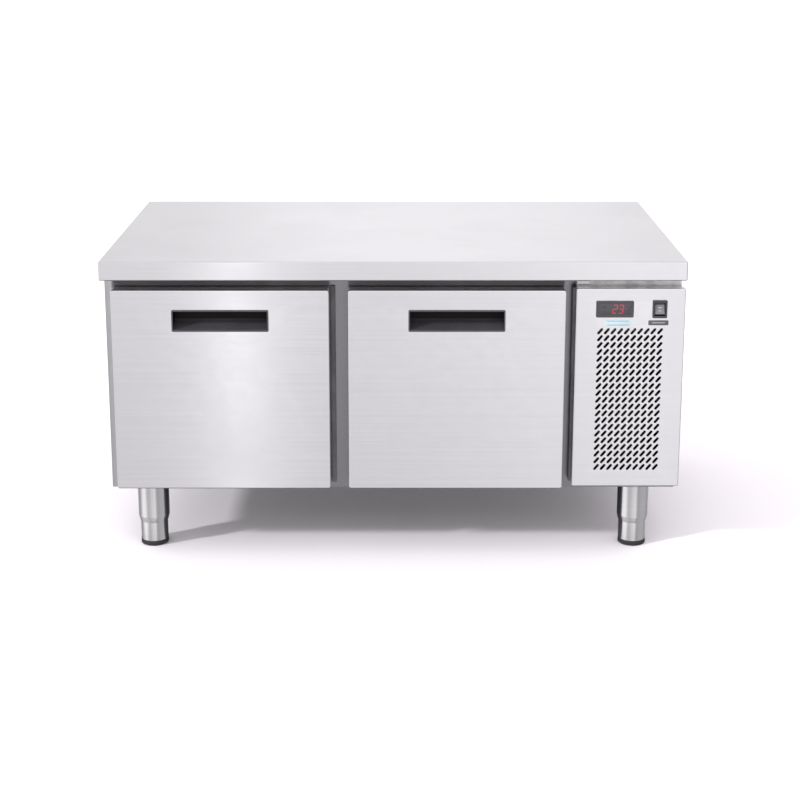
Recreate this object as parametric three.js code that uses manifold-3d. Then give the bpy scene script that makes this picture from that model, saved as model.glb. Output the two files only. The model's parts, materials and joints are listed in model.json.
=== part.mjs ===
// An undercounter refrigerator with two drawers beside a cooling unit, in millimetres.
// +X is to the right as seen from the front, +Y to the back, +Z up.
// The origin is on the floor, under the centre of the worktop.
import * as THREE from "three";
import { mergeVertices } from "three/addons/utils/BufferGeometryUtils.js";
import Module from "manifold-3d";

const wasm = await Module();
wasm.setup();

// ---- Driving dimensions ------------------------------------------------------------------------

// The whole refrigerator.
const WIDTH = 1200;
const DEPTH = 700;
const HEIGHT = 640;
const UNDER_HEIGHT = 138; // floor to the underside of the body

// Clearances and sheet thicknesses.
const GAP = 0.3; // between pieces that touch
const SHEET = 1; // body, liner and drawer sheets
const FRAME_SHEET = 1.2; // front frame and machine panel

// Worktop.
const TOP_EDGE = 40; // height of the folded front edge
const TOP_SHEET = 1.5;
const TOP_LIP = 18; // lip folded in under the edge
const TOP_BOARD = 18; // stiffening board glued under the sheet

// Body.
const SIDE_INSET = 2.5; // side panels in from the worktop's ends
const BACK_INSET = 10; // back panel in from the worktop's back edge
const SIDE_FLANGE = 15; // flanges folded along the side panels
const BACK_WALL = 48; // insulated wall behind the cell
const BULKHEAD_OFFSET = 3.7; // bulkhead to the machine panel's left edge
const MACHINE_STILE = 14; // front frame beside the machine opening
const MACHINE_RAIL = 30; // front frame over and under the machine opening
const MULLION_DEPTH = 28;

// Drawer fronts.
const FRONT_INSET = 5; // drawer faces back from the worktop's front edge
const FRONT_DEPTH = 38;
const FRONT_STANDOFF = 9; // from the back of a drawer front to the front frame, filled by the gasket
const FRONT_RADIUS = 6; // rounded corners of a drawer front
const DRAWER_MARGIN = 21; // worktop's left end to the left drawer
const DRAWER_RISE = 13; // underside of the body to the drawers' lower edge
const DRAWER_DROP = 21; // underside of the worktop to the drawers' upper edge
const MULLION_GAP = 38; // between the two drawer fronts
const DRAWER_LAP = 27.5; // a front overlaps its opening by this on every side
const GASKET_INSET = 6; // gasket in from the edge of a front
const GASKET_WIDTH = 14;

// Drawer boxes and slides.
const SLIDE_SPACE = 13; // from the cell wall to the side of a box
const SLIDE_DROP = 131.5; // ceiling of the cell to the slides' centre line
const RAIL_START = 10; // outer rails back from the front frame
const RAIL_END = 5; // outer rails end before the back of the centre rack
const RAIL_SHEET = 1.5;
const RACK_CLEARANCE = 1; // from the centre rack to the evaporator's cover
const BOX_RISE = 27; // floor of the cell to the underside of a box
const BOX_ABOVE_SLIDE = 35;
const BOX_RIM = 12; // rims folded in along the sides of a box, to carry a container
const BOX_FLANGE = 8; // flanges folded out at the front of a box, fixed to the inner panel

// Handles.
const HANDLE_WIDTH = 199;
const HANDLE_HEIGHT = 45.6;
const HANDLE_DROP = 64; // top of a drawer front to the handle's centre
const HANDLE_BEZEL = 2; // bezel proud of the drawer face
const HANDLE_RIM = 3; // width of the bezel seen round the mouth
const HANDLE_WALL = 1.5;
const POCKET_BACK = 6; // from the back of the finger pocket to the back of a drawer front
const POCKET_UNDERCUT = 10; // pocket rises this far behind the face

// Machine panel with its grille and controls.
const PANEL_WIDTH = 224;
const PANEL_MARGIN = 1; // panel in from the worktop's right end
const PANEL_GAP = 20; // right drawer to the panel
const PANEL_INSET = 7; // panel face back from the worktop's front edge
const PANEL_RETURN = 20; // folded edge of the panel
const PANEL_RISE = 18; // underside of the body to the panel's lower edge
const PANEL_DROP = 17.5; // underside of the worktop to the panel's upper edge
const PANEL_RADIUS = 3;
const GRILLE_COLUMNS = 10;
const GRILLE_PITCH_X = 13.68;
const GRILLE_PITCH_Z = 14.7;
const GRILLE_BELOW = 42.5; // panel's lower edge to the lowest row of slots
const GRILLE_ABOVE = 90.1; // panel's upper edge to the highest row of slots
const SLOT_LENGTH = 16;
const SLOT_WIDTH = 5;
const SLOT_ANGLE = 50; // degrees up from level
const CONTROLS_DROP = 43; // panel's upper edge to the centre line of the controls
const CONTROLLER_SHIFT = -32.5; // controller's centre from the panel's centre line
const CONTROLLER_WIDTH = 77;
const CONTROLLER_HEIGHT = 34.5;
const CONTROLLER_DEPTH = 58; // body behind the panel
const SWITCH_SHIFT = 59.5; // switch's centre from the panel's centre line
const SWITCH_WIDTH = 30;
const SWITCH_HEIGHT = 37.5;
const SWITCH_DEPTH = 26;
const CONTROL_LIP = 3; // bezel overlaps its cut-out
const CONTROL_PROUD = 2.8; // bezel stands out of the panel
const ROCKER_TILT = 11; // degrees that the rocker leans at rest
const ROCKER_WIDTH = 20.6;
const ROCKER_HEIGHT = 25;
const ROCKER_DEPTH = 13;
const ROCKER_CLEARANCE = 0.8;

// Legs.
const LEG_INSET_X = 80.5; // leg axis in from the side of the body
const LEG_WALL = 3.5;
const LEG_FLANGE = 1.5; // the flange at the top stands out this far
const LEG_CONE_TOP = 65;
const LEG_BOTTOM = 53;
const FOOT_RADIUS = 29;
const FOOT_CLEARANCE = 0.5; // from the foot to the inside of its leg
const PAD_HEIGHT = 11;
const STUD_RADIUS = 8;
const FOOT_TRAVEL = 10; // the foot can be screwed in this far

// Cooling unit and evaporator.
const CONDENSER_WIDTH = 200;
const CONDENSER_DEPTH = 50;
const CONDENSER_HEIGHT = 325;
const CONDENSER_FAN_RADIUS = 88;
const MOTOR_SHAFT = 4; // radius
const COMPRESSOR_RADIUS = 75;
const COMPRESSOR_HEIGHT = 165;
const COMPRESSOR_SETBACK = 95; // from the back of the compressor to the back panel
const EVAPORATOR_DEPTH = 53.7; // from the front of the evaporator's cover to the cell's back
const EVAPORATOR_FAN_SIZE = 119;
const COIL_LENGTH = 318;
const SUCTION_RADIUS = 5;
const LIQUID_RADIUS = 3;

// ---- Places worked out from the dimensions -----------------------------------------------------

const inset = ([low, high], amount) => [low + amount, high - amount];
const middle = ([low, high]) => (low + high) / 2;
const size = ([low, high]) => high - low;
const around = (centre, length) => [centre - length / 2, centre + length / 2];

const top = {
  x: [-WIDTH / 2, WIDTH / 2],
  y: [-DEPTH / 2, DEPTH / 2],
  z: [HEIGHT - TOP_EDGE, HEIGHT],
};
const body = {
  x: inset(top.x, SIDE_INSET),
  y: [top.y[0] + FRONT_INSET + FRONT_DEPTH + FRONT_STANDOFF, top.y[1] - BACK_INSET],
  z: [UNDER_HEIGHT, top.z[0]],
};
const framePlate = [body.y[0], body.y[0] + FRAME_SHEET];
const behindFrame = framePlate[1] + GAP;

const panel = {
  x: [top.x[1] - PANEL_MARGIN - PANEL_WIDTH, top.x[1] - PANEL_MARGIN],
  y: [top.y[0] + PANEL_INSET, top.y[0] + PANEL_INSET + PANEL_RETURN],
  z: [body.z[0] + PANEL_RISE, body.z[1] - PANEL_DROP],
};

const frontZ = [body.z[0] + DRAWER_RISE, body.z[1] - DRAWER_DROP];
const frontY = [top.y[0] + FRONT_INSET, top.y[0] + FRONT_INSET + FRONT_DEPTH];
const firstFront = top.x[0] + DRAWER_MARGIN;
const frontWidth = (panel.x[0] - PANEL_GAP - MULLION_GAP - firstFront) / 2;
const drawers = ["left", "right"].map((side, index) => {
  const start = firstFront + index * (frontWidth + MULLION_GAP);
  const x = [start, start + frontWidth];
  return { side, x, opening: inset(x, DRAWER_LAP) };
});

const cell = {
  x: [drawers[0].opening[0], drawers[1].opening[1]],
  y: [behindFrame, body.y[1] - BACK_WALL],
  z: inset(frontZ, DRAWER_LAP),
};
const slideZ = cell.z[1] - SLIDE_DROP;
const rackX = [drawers[0].opening[1], drawers[1].opening[0]];
const coverY = [cell.y[1] - GAP - EVAPORATOR_DEPTH, cell.y[1] - GAP];
const rackBack = coverY[0] - RACK_CLEARANCE;
const railY = [body.y[0] + RAIL_START, rackBack - RAIL_END];

const baseZ = [body.z[0] + SHEET + GAP, body.z[0] + 2 * SHEET + GAP];
const backY = [body.y[1] - 2 * SHEET - GAP, body.y[1] - SHEET - GAP];
const insideX = inset(body.x, SHEET + GAP);
const bulkheadX = [panel.x[0] - BULKHEAD_OFFSET - SHEET, panel.x[0] - BULKHEAD_OFFSET];
const machine = {
  x: [bulkheadX[1], insideX[1]],
  y: [behindFrame, backY[0] - GAP],
  z: [baseZ[1] + GAP, body.z[1] - SHEET - 2 * GAP],
};

// ---- Solids ------------------------------------------------------------------------------------

// A closed three.js geometry as a solid that can be joined and cut.
function solid(geometry) {
  geometry.deleteAttribute("normal");
  geometry.deleteAttribute("uv");
  const merged = mergeVertices(geometry, 1e-4);
  const triangles = [];
  for (let i = 0; i < merged.index.count; i += 3) {
    const [a, b, c] = [0, 1, 2].map((corner) => merged.index.getX(i + corner));
    if (a !== b && b !== c && c !== a) triangles.push(a, b, c);
  }
  const mesh = new wasm.Mesh({
    numProp: 3,
    vertProperties: new Float32Array(merged.attributes.position.array),
    triVerts: new Uint32Array(triangles),
  });
  return new wasm.Manifold(mesh);
}

const join = (...solids) => solids.reduce((sum, next) => sum.add(next));
const cut = (whole, ...tools) => tools.reduce((left, tool) => left.subtract(tool), whole);

function box(x, y, z) {
  const geometry = new THREE.BoxGeometry(size(x), size(y), size(z));
  return solid(geometry.translate(middle(x), middle(y), middle(z)));
}

// A round bar along Y, centred on x and z.
function barY(radius, y, x, z, sides = 32) {
  const geometry = new THREE.CylinderGeometry(radius, radius, size(y), sides);
  return solid(geometry.translate(x, middle(y), z));
}

// A round bar along X, centred on y and z.
function barX(radius, x, y, z, sides = 24) {
  const geometry = new THREE.CylinderGeometry(radius, radius, size(x), sides);
  return solid(geometry.rotateZ(Math.PI / 2).translate(middle(x), y, z));
}

// A solid of revolution about a vertical axis; each outline point is [radius, height].
function turned(outline, x, y, sides = 16) {
  const points = outline.map(([radius, height]) => new THREE.Vector2(radius, height));
  const geometry = new THREE.LatheGeometry(points, sides);
  return solid(geometry.rotateX(Math.PI / 2).translate(x, y, 0));
}

// A section of [y, z] points carried along X.
function sectionAlongX(section, x) {
  const shape = new THREE.Shape(section.map(([y, z]) => new THREE.Vector2(y, z)));
  const geometry = new THREE.ExtrudeGeometry(shape, { depth: size(x), bevelEnabled: false });
  const turn = new THREE.Matrix4().set(0, 0, 1, x[0], 1, 0, 0, 0, 0, 1, 0, 0, 0, 0, 0, 1);
  return geometry.applyMatrix4(turn);
}

const extrudedX = (section, x) => solid(sectionAlongX(section, x));

// A plate across Y with rounded corners.
function roundedPlate(x, y, z, radius) {
  const shape = new THREE.Shape();
  const [left, right] = x;
  const [low, high] = z;
  shape.moveTo(left + radius, low);
  shape.absarc(right - radius, low + radius, radius, -Math.PI / 2, 0);
  shape.absarc(right - radius, high - radius, radius, 0, Math.PI / 2);
  shape.absarc(left + radius, high - radius, radius, Math.PI / 2, Math.PI);
  shape.absarc(left + radius, low + radius, radius, Math.PI, 1.5 * Math.PI);
  const options = { depth: size(y), bevelEnabled: false, curveSegments: 4 };
  const geometry = new THREE.ExtrudeGeometry(shape, options);
  return solid(geometry.rotateX(Math.PI / 2).translate(0, y[1], 0));
}

// A tray of sheet metal: a rounded plate with its edges folded to the back.
function pan(x, y, z, sheet, radius) {
  const inner = roundedPlate(inset(x, sheet), [y[0] + sheet, y[1] + 1], inset(z, sheet), radius - sheet);
  return cut(roundedPlate(x, y, z, radius), inner);
}

// A path whose stations are chosen points, so that straight runs need only their two ends.
class Route extends THREE.Curve {
  constructor(points) {
    super();
    this.points = points;
  }

  station(share) {
    return Math.round(share * (this.points.length - 1));
  }

  getPointAt(share, target = new THREE.Vector3()) {
    return target.copy(this.points[this.station(share)]);
  }

  getTangentAt(share, target = new THREE.Vector3()) {
    const here = this.station(share);
    const before = this.points[Math.max(here - 1, 0)];
    const after = this.points[Math.min(here + 1, this.points.length - 1)];
    return target.subVectors(after, before).normalize();
  }
}

// A pipe along straight runs between corners, each corner rounded by a bend.
function pipe(corners, radius, bend) {
  const turns = corners.map((corner) => new THREE.Vector3(...corner));
  const stations = [turns[0]];
  for (let i = 1; i < turns.length - 1; i += 1) {
    const here = turns[i];
    const toward = (other) => other.clone().sub(here).setLength(bend).add(here);
    const curve = new THREE.QuadraticBezierCurve3(toward(turns[i - 1]), here, toward(turns[i + 1]));
    stations.push(...curve.getPoints(4));
  }
  stations.push(turns[turns.length - 1]);
  const section = new THREE.Shape();
  section.absarc(0, 0, radius, 0, 2 * Math.PI);
  const options = {
    steps: stations.length - 1,
    curveSegments: 4,
    extrudePath: new Route(stations),
    bevelEnabled: false,
  };
  return solid(new THREE.ExtrudeGeometry(section, options));
}

// ---- Finishes ----------------------------------------------------------------------------------

const finish = (color, metalness, roughness) =>
  new THREE.MeshStandardMaterial({ color, metalness, roughness });
const STEEL = finish(0xc9c8cb, 1, 0.35);
const GALVANISED = finish(0xa7abad, 1, 0.5);
const BRIGHT_STEEL = finish(0xd4d3d6, 1, 0.2);
const ALUMINIUM = finish(0xc3c6c8, 1, 0.4);
const COPPER = finish(0xb0704a, 1, 0.35);
const BLACK_PLASTIC = finish(0x1d1c20, 0, 0.45);
const BLACK_PAINT = finish(0x202124, 0.2, 0.4);
const GREY_PLASTIC = finish(0x8f8d93, 0, 0.4);
const RUBBER = finish(0x3a3a3e, 0, 0.8);
const FOAM = finish(0xe6d9b0, 0, 0.95);
const BOARD = finish(0xb08c5c, 0, 0.9);

const refrigerator = new THREE.Group();

// Adds one named piece to the refrigerator.
function place(name, shape, material) {
  const data = shape.getMesh();
  const geometry = new THREE.BufferGeometry();
  geometry.setAttribute("position", new THREE.BufferAttribute(data.vertProperties, 3));
  geometry.setIndex(new THREE.BufferAttribute(data.triVerts, 1));
  geometry.computeVertexNormals();
  const mesh = new THREE.Mesh(geometry, material);
  mesh.name = name;
  refrigerator.add(mesh);
}

// ---- Worktop -----------------------------------------------------------------------------------

function makeWorktop() {
  const cavity = {
    x: inset(top.x, TOP_SHEET),
    y: inset(top.y, TOP_SHEET),
    z: [top.z[0] + TOP_SHEET, top.z[1] - TOP_SHEET],
  };
  const mouth = box(inset(cavity.x, TOP_LIP), inset(cavity.y, TOP_LIP), [top.z[0] - 1, cavity.z[0] + 1]);
  const skin = cut(box(top.x, top.y, top.z), box(cavity.x, cavity.y, cavity.z), mouth);
  const boardTop = cavity.z[1] - GAP;
  const board = box(inset(cavity.x, GAP), inset(cavity.y, GAP), [boardTop - TOP_BOARD, boardTop]);
  place("worktop_skin", skin, STEEL);
  place("worktop_core", board, BOARD);
}

// ---- Body --------------------------------------------------------------------------------------

// One side panel; direction is -1 for the left one and 1 for the right one.
function sidePanel(direction) {
  const outer = direction < 0 ? body.x[0] : body.x[1];
  const across = (depth) => [outer, outer - direction * depth].sort((a, b) => a - b);
  const y = [behindFrame, body.y[1]];
  const z = [body.z[0], body.z[1] - GAP];
  return join(
    box(across(SHEET), y, z),
    box(across(SIDE_FLANGE), [y[1] - SHEET, y[1]], z),
    box(across(SIDE_FLANGE), y, [z[0], z[0] + SHEET]),
    box(across(SIDE_FLANGE), y, [z[1] - SHEET, z[1]]),
  );
}

// The back panel has rows of vent slots behind the cooling unit.
function backPanel() {
  const ventWidth = 130;
  const ventHeight = 8;
  const ventPitch = 24;
  const vents = [];
  for (let z = body.z[0] + 90; z < body.z[1] - 90; z += ventPitch) {
    const centre = middle(machine.x);
    vents.push(box(around(centre, ventWidth), inset(backY, -1), [z, z + ventHeight]));
  }
  return cut(box(insideX, backY, machine.z), ...vents);
}

// Z-shaped bracket that carries the machine panel in front of the frame; up is 1 or -1.
function panelBracket(up) {
  const edge = up > 0 ? panel.z[1] : panel.z[0];
  const frontFace = panel.y[0] + FRAME_SHEET + GAP;
  const web = edge - up * (FRAME_SHEET + GAP + 1);
  const front = web - up * 18;
  const back = web + up * 14;
  const section = [
    [frontFace, front],
    [frontFace, web],
    [framePlate[0] - FRAME_SHEET, web],
    [framePlate[0] - FRAME_SHEET, back],
    [framePlate[0] + FRAME_SHEET / 2, back],
    [framePlate[0] + FRAME_SHEET / 2, web - up * FRAME_SHEET],
    [frontFace + FRAME_SHEET, web - up * FRAME_SHEET],
    [frontFace + FRAME_SHEET, front],
  ];
  return extrudedX(up > 0 ? section : section.reverse(), inset(panel.x, 12));
}

// The front frame: stiles, rails and a mullion folded back between the drawer openings.
function frontFrame() {
  const plate = box(body.x, framePlate, [body.z[0], body.z[1] - GAP]);
  const through = inset(framePlate, -1);
  const openings = drawers.map(({ opening }) => box(opening, through, cell.z));
  const machineX = [bulkheadX[1], body.x[1] - MACHINE_STILE];
  openings.push(box(machineX, through, inset(body.z, MACHINE_RAIL)));
  const foldY = [framePlate[0], framePlate[1] + MULLION_DEPTH];
  const foldZ = inset(cell.z, GAP);
  const folds = [
    box([rackX[0], rackX[0] + FRAME_SHEET], foldY, foldZ),
    box([rackX[1] - FRAME_SHEET, rackX[1]], foldY, foldZ),
  ];
  return join(cut(plate, ...openings), ...folds, panelBracket(1), panelBracket(-1));
}

const pipeHoleY = cell.y[1] - 28;
const pipeHoleZ = cell.z[0] + 110;

function cellLiner() {
  const flange = 10;
  const outer = {
    x: inset(cell.x, -SHEET),
    y: [cell.y[0], cell.y[1] + SHEET],
    z: inset(cell.z, -SHEET),
  };
  const rim = box(inset(outer.x, -flange), [cell.y[0], cell.y[0] + SHEET], inset(outer.z, -flange));
  const inside = box(cell.x, [cell.y[0] - 1, cell.y[1]], cell.z);
  const hole = barX(16, [cell.x[1] - 1, cell.x[1] + 2 * SHEET], pipeHoleY, pipeHoleZ);
  return cut(join(box(outer.x, outer.y, outer.z), rim), inside, hole);
}

function insulation() {
  const front = cell.y[0] + SHEET + GAP;
  const block = box(
    [insideX[0], bulkheadX[0] - GAP],
    [front, backY[0] - GAP],
    [machine.z[0], machine.z[1] - GAP],
  );
  const clear = SHEET + GAP;
  const space = box(inset(cell.x, -clear), [front - 1, cell.y[1] + clear], inset(cell.z, -clear));
  const hole = barX(16, [cell.x[1], bulkheadX[1]], pipeHoleY, pipeHoleZ);
  return cut(block, space, hole);
}

function bulkhead() {
  const sheet = box(bulkheadX, machine.y, machine.z);
  return cut(sheet, barX(16, inset(bulkheadX, -1), pipeHoleY, pipeHoleZ));
}

// The centre rack: a box beam at slide height from the mullion to a post at the back of the cell.
function centreRack() {
  const wall = 1.5;
  const halfHeight = 30;
  const postDepth = 30;
  const beamY = [framePlate[1] + MULLION_DEPTH + GAP, rackBack - postDepth / 2];
  const beamZ = [slideZ - halfHeight, slideZ + halfHeight];
  const beam = cut(
    box(rackX, beamY, beamZ),
    box(inset(rackX, wall), [beamY[0] - 1, rackBack - postDepth], inset(beamZ, wall)),
  );
  const postZ = inset(cell.z, GAP);
  const hollow = box(inset(rackX, wall), [rackBack - postDepth + wall, rackBack + 1], inset(postZ, wall));
  const post = box(rackX, [rackBack - postDepth, rackBack], postZ);
  return cut(join(beam, post), hollow);
}

function makeBody() {
  place("left_side_panel", sidePanel(-1), STEEL);
  place("right_side_panel", sidePanel(1), STEEL);
  place("back_panel", backPanel(), GALVANISED);
  place("base_panel", box(insideX, [behindFrame, backY[1]], baseZ), GALVANISED);
  place("front_frame", frontFrame(), STEEL);
  place("cell_liner", cellLiner(), STEEL);
  place("insulation_foam", insulation(), FOAM);
  place("motor_bulkhead", bulkhead(), GALVANISED);
  place("centre_rack", centreRack(), STEEL);
}

// ---- Slides ------------------------------------------------------------------------------------

// A C-shaped rail on a cell wall; near and far are its distances from the wall. The web is on the
// near side, or on the far side when webFar is set.
function rail(wall, direction, near, far, halfHeight, y, webFar = false) {
  const across = (a, b) => [wall + direction * a, wall + direction * b].sort((p, q) => p - q);
  const z = [slideZ - halfHeight, slideZ + halfHeight];
  const hollow = webFar ? across(near - 1, far - RAIL_SHEET) : across(near + RAIL_SHEET, far + 1);
  return cut(box(across(near, far), y, z), box(hollow, inset(y, -1), inset(z, RAIL_SHEET)));
}

const OUTER_RAIL = { near: GAP, far: 12, half: 22.5 };
const MIDDLE_RAIL = { near: 2.4, far: 12.6, half: 20 };
const INNER_RAIL = { near: 5, far: SLIDE_SPACE + SHEET / 2, half: 17.5 };

// The two cell walls that carry a drawer's slides.
const slideWalls = (drawer) => [
  { hand: "left", wall: drawer.opening[0], direction: 1 },
  { hand: "right", wall: drawer.opening[1], direction: -1 },
];

function makeRails(drawer) {
  for (const { hand, wall, direction } of slideWalls(drawer)) {
    const outer = rail(wall, direction, OUTER_RAIL.near, OUTER_RAIL.far, OUTER_RAIL.half, railY);
    const mid = rail(wall, direction, MIDDLE_RAIL.near, MIDDLE_RAIL.far, MIDDLE_RAIL.half, railY);
    place(`${drawer.side}_drawer_outer_rail_${hand}`, outer, GALVANISED);
    place(`${drawer.side}_drawer_middle_rail_${hand}`, mid, GALVANISED);
  }
}

// ---- Drawers -----------------------------------------------------------------------------------

const panelBack = frontY[1] - GAP; // back face of a drawer's inner panel
const gasketY = [panelBack + GAP, body.y[0] - GAP];

// Section of the finger pocket, grown outwards by a wall: a ramp up from the lower lip, a back,
// and an undercut behind the upper lip.
function pocketSection(grow, mouthY) {
  const half = HANDLE_HEIGHT / 2 - HANDLE_RIM + grow;
  const back = frontY[1] - POCKET_BACK + grow;
  const undercutFront = frontY[0] + 4 - grow;
  const ceiling = half + POCKET_UNDERCUT;
  return [
    [mouthY, -half],
    [back - 6, -half + 11],
    [back, -half + 17],
    [back, ceiling],
    [undercutFront, ceiling],
    [undercutFront, half],
    [mouthY, half],
  ];
}

function handle(centreX, centreZ) {
  const lift = (section) => section.map(([y, z]) => [y, z + centreZ]);
  const mouthX = around(centreX, HANDLE_WIDTH - 2 * HANDLE_RIM);
  const bezelY = [frontY[0] - HANDLE_BEZEL, frontY[0] - GAP];
  const bezel = roundedPlate(around(centreX, HANDLE_WIDTH), bezelY, around(centreZ, HANDLE_HEIGHT), 3);
  const shell = extrudedX(lift(pocketSection(HANDLE_WALL, bezelY[0] + 0.5)), inset(mouthX, -HANDLE_WALL));
  return cut(join(bezel, shell), extrudedX(lift(pocketSection(0, bezelY[0] - 1)), mouthX));
}

// Open at the front, where the drawer front's inner panel closes it; flanges turned outwards at the
// front ends of the sides carry it on that panel.
function drawerBox(drawer) {
  const x = inset(drawer.opening, SLIDE_SPACE);
  const y = [frontY[1] + GAP / 2, railY[1] - 5];
  const z = [cell.z[0] + BOX_RISE, slideZ + BOX_ABOVE_SLIDE];
  const insideY = [y[0] - 1, y[1] - SHEET];
  const inside = box(inset(x, SHEET), insideY, [z[0] + SHEET, z[1] - SHEET]);
  const mouth = box(inset(x, BOX_RIM), insideY, [z[1] - 2 * SHEET, z[1] + 1]);
  const flangeY = [y[0], y[0] + SHEET];
  const flanges = [
    box([x[0] - BOX_FLANGE, x[0] + SHEET / 2], flangeY, inset(z, BOX_FLANGE)),
    box([x[1] - SHEET / 2, x[1] + BOX_FLANGE], flangeY, inset(z, BOX_FLANGE)),
  ];
  const rails = slideWalls(drawer).map(({ wall, direction }) =>
    rail(wall, direction, INNER_RAIL.near, INNER_RAIL.far, INNER_RAIL.half, [railY[0], y[1]], true),
  );
  return join(cut(box(x, y, z), inside, mouth), ...flanges, ...rails);
}

function makeDrawer(drawer) {
  const { side, x } = drawer;
  const centreX = middle(x);
  const handleZ = frontZ[1] - HANDLE_DROP;
  const holeGrowth = 2 * (HANDLE_WALL + GAP - HANDLE_RIM);
  const holeX = around(centreX, HANDLE_WIDTH + holeGrowth);
  const holeZ = around(handleZ, HANDLE_HEIGHT + holeGrowth);
  const hole = box(holeX, [frontY[0] - 1, frontY[0] + 3 * SHEET], holeZ);
  const skin = cut(pan(x, frontY, frontZ, SHEET, FRONT_RADIUS), hole);

  const clear = SHEET + GAP;
  const innerX = inset(x, clear);
  const innerZ = inset(frontZ, clear);
  const cornerRadius = FRONT_RADIUS - clear;
  const innerPanelY = [panelBack - SHEET, panelBack];
  const foamY = [frontY[0] + clear, innerPanelY[0] - GAP];
  const pocketZ = [holeZ[0], holeZ[1] + POCKET_UNDERCUT];
  const pocketY = [foamY[0] - 1, frontY[1] - POCKET_BACK + HANDLE_WALL + GAP];
  const foam = cut(roundedPlate(innerX, foamY, innerZ, cornerRadius), box(holeX, pocketY, pocketZ));
  const gasket = cut(
    box(inset(x, GASKET_INSET), gasketY, inset(frontZ, GASKET_INSET)),
    box(
      inset(x, GASKET_INSET + GASKET_WIDTH),
      inset(gasketY, -1),
      inset(frontZ, GASKET_INSET + GASKET_WIDTH),
    ),
  );

  place(`${side}_drawer_skin`, skin, STEEL);
  place(`${side}_drawer_foam`, foam, FOAM);
  const innerPanel = roundedPlate(innerX, innerPanelY, innerZ, cornerRadius);
  place(`${side}_drawer_inner_panel`, innerPanel, STEEL);
  place(`${side}_drawer_gasket`, gasket, RUBBER);
  place(`${side}_drawer_handle`, handle(centreX, handleZ), BLACK_PLASTIC);
  place(`${side}_drawer_box`, drawerBox(drawer), STEEL);
}

// ---- Machine panel and controls ----------------------------------------------------------------

const controlsZ = panel.z[1] - CONTROLS_DROP;
const controllerX = middle(panel.x) + CONTROLLER_SHIFT;
const switchX = middle(panel.x) + SWITCH_SHIFT;

function grilleSlots() {
  const rows = Math.round((size(panel.z) - GRILLE_BELOW - GRILLE_ABOVE) / GRILLE_PITCH_Z) + 1;
  const firstX = middle(panel.x) - ((GRILLE_COLUMNS - 1) * GRILLE_PITCH_X) / 2;
  const slots = [];
  for (let row = 0; row < rows; row += 1) {
    for (let column = 0; column < GRILLE_COLUMNS; column += 1) {
      const slot = new THREE.BoxGeometry(SLOT_LENGTH, 4 * FRAME_SHEET, SLOT_WIDTH);
      slot.rotateY(-THREE.MathUtils.degToRad(SLOT_ANGLE));
      const x = firstX + column * GRILLE_PITCH_X;
      const z = panel.z[0] + GRILLE_BELOW + row * GRILLE_PITCH_Z;
      slots.push(solid(slot.translate(x, panel.y[0], z)));
    }
  }
  return wasm.Manifold.union(slots);
}

function machinePanel() {
  const through = [panel.y[0] - 1, panel.y[0] + 3 * FRAME_SHEET];
  const cutOut = (centre, width, height) =>
    box(
      around(centre, width - 2 * CONTROL_LIP + 2 * GAP),
      through,
      around(controlsZ, height - 2 * CONTROL_LIP + 2 * GAP),
    );
  return cut(
    pan(panel.x, panel.y, panel.z, FRAME_SHEET, PANEL_RADIUS),
    cutOut(controllerX, CONTROLLER_WIDTH, CONTROLLER_HEIGHT),
    cutOut(switchX, SWITCH_WIDTH, SWITCH_HEIGHT),
    grilleSlots(),
  );
}

// A control that snaps into the panel: a bezel in front and a body behind.
function panelControl(centre, width, height, depth) {
  const bezelY = [panel.y[0] - CONTROL_PROUD, panel.y[0] - GAP];
  const bezel = roundedPlate(around(centre, width), bezelY, around(controlsZ, height), 2.5);
  const behind = box(
    around(centre, width - 2 * CONTROL_LIP),
    [bezelY[0] + 1, panel.y[0] + depth],
    around(controlsZ, height - 2 * CONTROL_LIP),
  );
  return join(bezel, behind);
}

const rockerY = panel.y[0] + 7; // pivot line of the rocker
const rockerFront = 0.62 * ROCKER_DEPTH; // from the pivot to the ends of the face
const rockerBack = ROCKER_DEPTH - rockerFront;

// How far the end of the leaning rocker reaches above its pivot.
function rockerReach() {
  const radius = Math.hypot(ROCKER_HEIGHT / 2, rockerFront);
  const angle = Math.atan2(ROCKER_HEIGHT / 2, rockerFront);
  return radius * Math.sin(angle + THREE.MathUtils.degToRad(ROCKER_TILT));
}

function switchHousing() {
  const space = box(
    around(switchX, ROCKER_WIDTH + 2 * ROCKER_CLEARANCE),
    [panel.y[0] - CONTROL_PROUD - 1, rockerY + ROCKER_DEPTH],
    around(controlsZ, 2 * rockerReach() + ROCKER_CLEARANCE),
  );
  return cut(panelControl(switchX, SWITCH_WIDTH, SWITCH_HEIGHT, SWITCH_DEPTH), space);
}

// The rocker has a hollowed face and leans with its upper end pushed in.
function rocker() {
  const half = ROCKER_HEIGHT / 2;
  const endY = -rockerFront;
  const hollow = 2.4;
  const steps = 6;
  const section = [
    [rockerBack, half * 0.45],
    [endY, half],
  ];
  for (let i = 1; i < steps; i += 1) {
    const share = 1 - (2 * i) / steps;
    section.push([endY + hollow * (1 - share * share), half * share]);
  }
  section.push([endY, -half], [rockerBack, -half * 0.45]);
  const geometry = sectionAlongX(section, [-ROCKER_WIDTH / 2, ROCKER_WIDTH / 2]);
  geometry.rotateX(-THREE.MathUtils.degToRad(ROCKER_TILT));
  return solid(geometry.translate(switchX, rockerY, controlsZ));
}

function makeMachinePanel() {
  const controller = panelControl(controllerX, CONTROLLER_WIDTH, CONTROLLER_HEIGHT, CONTROLLER_DEPTH);
  place("front_panel", machinePanel(), STEEL);
  place("controller", controller, BLACK_PLASTIC);
  place("switch_housing", switchHousing(), BLACK_PLASTIC);
  place("switch_rocker", rocker(), GREY_PLASTIC);
}

// ---- Cooling unit ------------------------------------------------------------------------------

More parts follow.
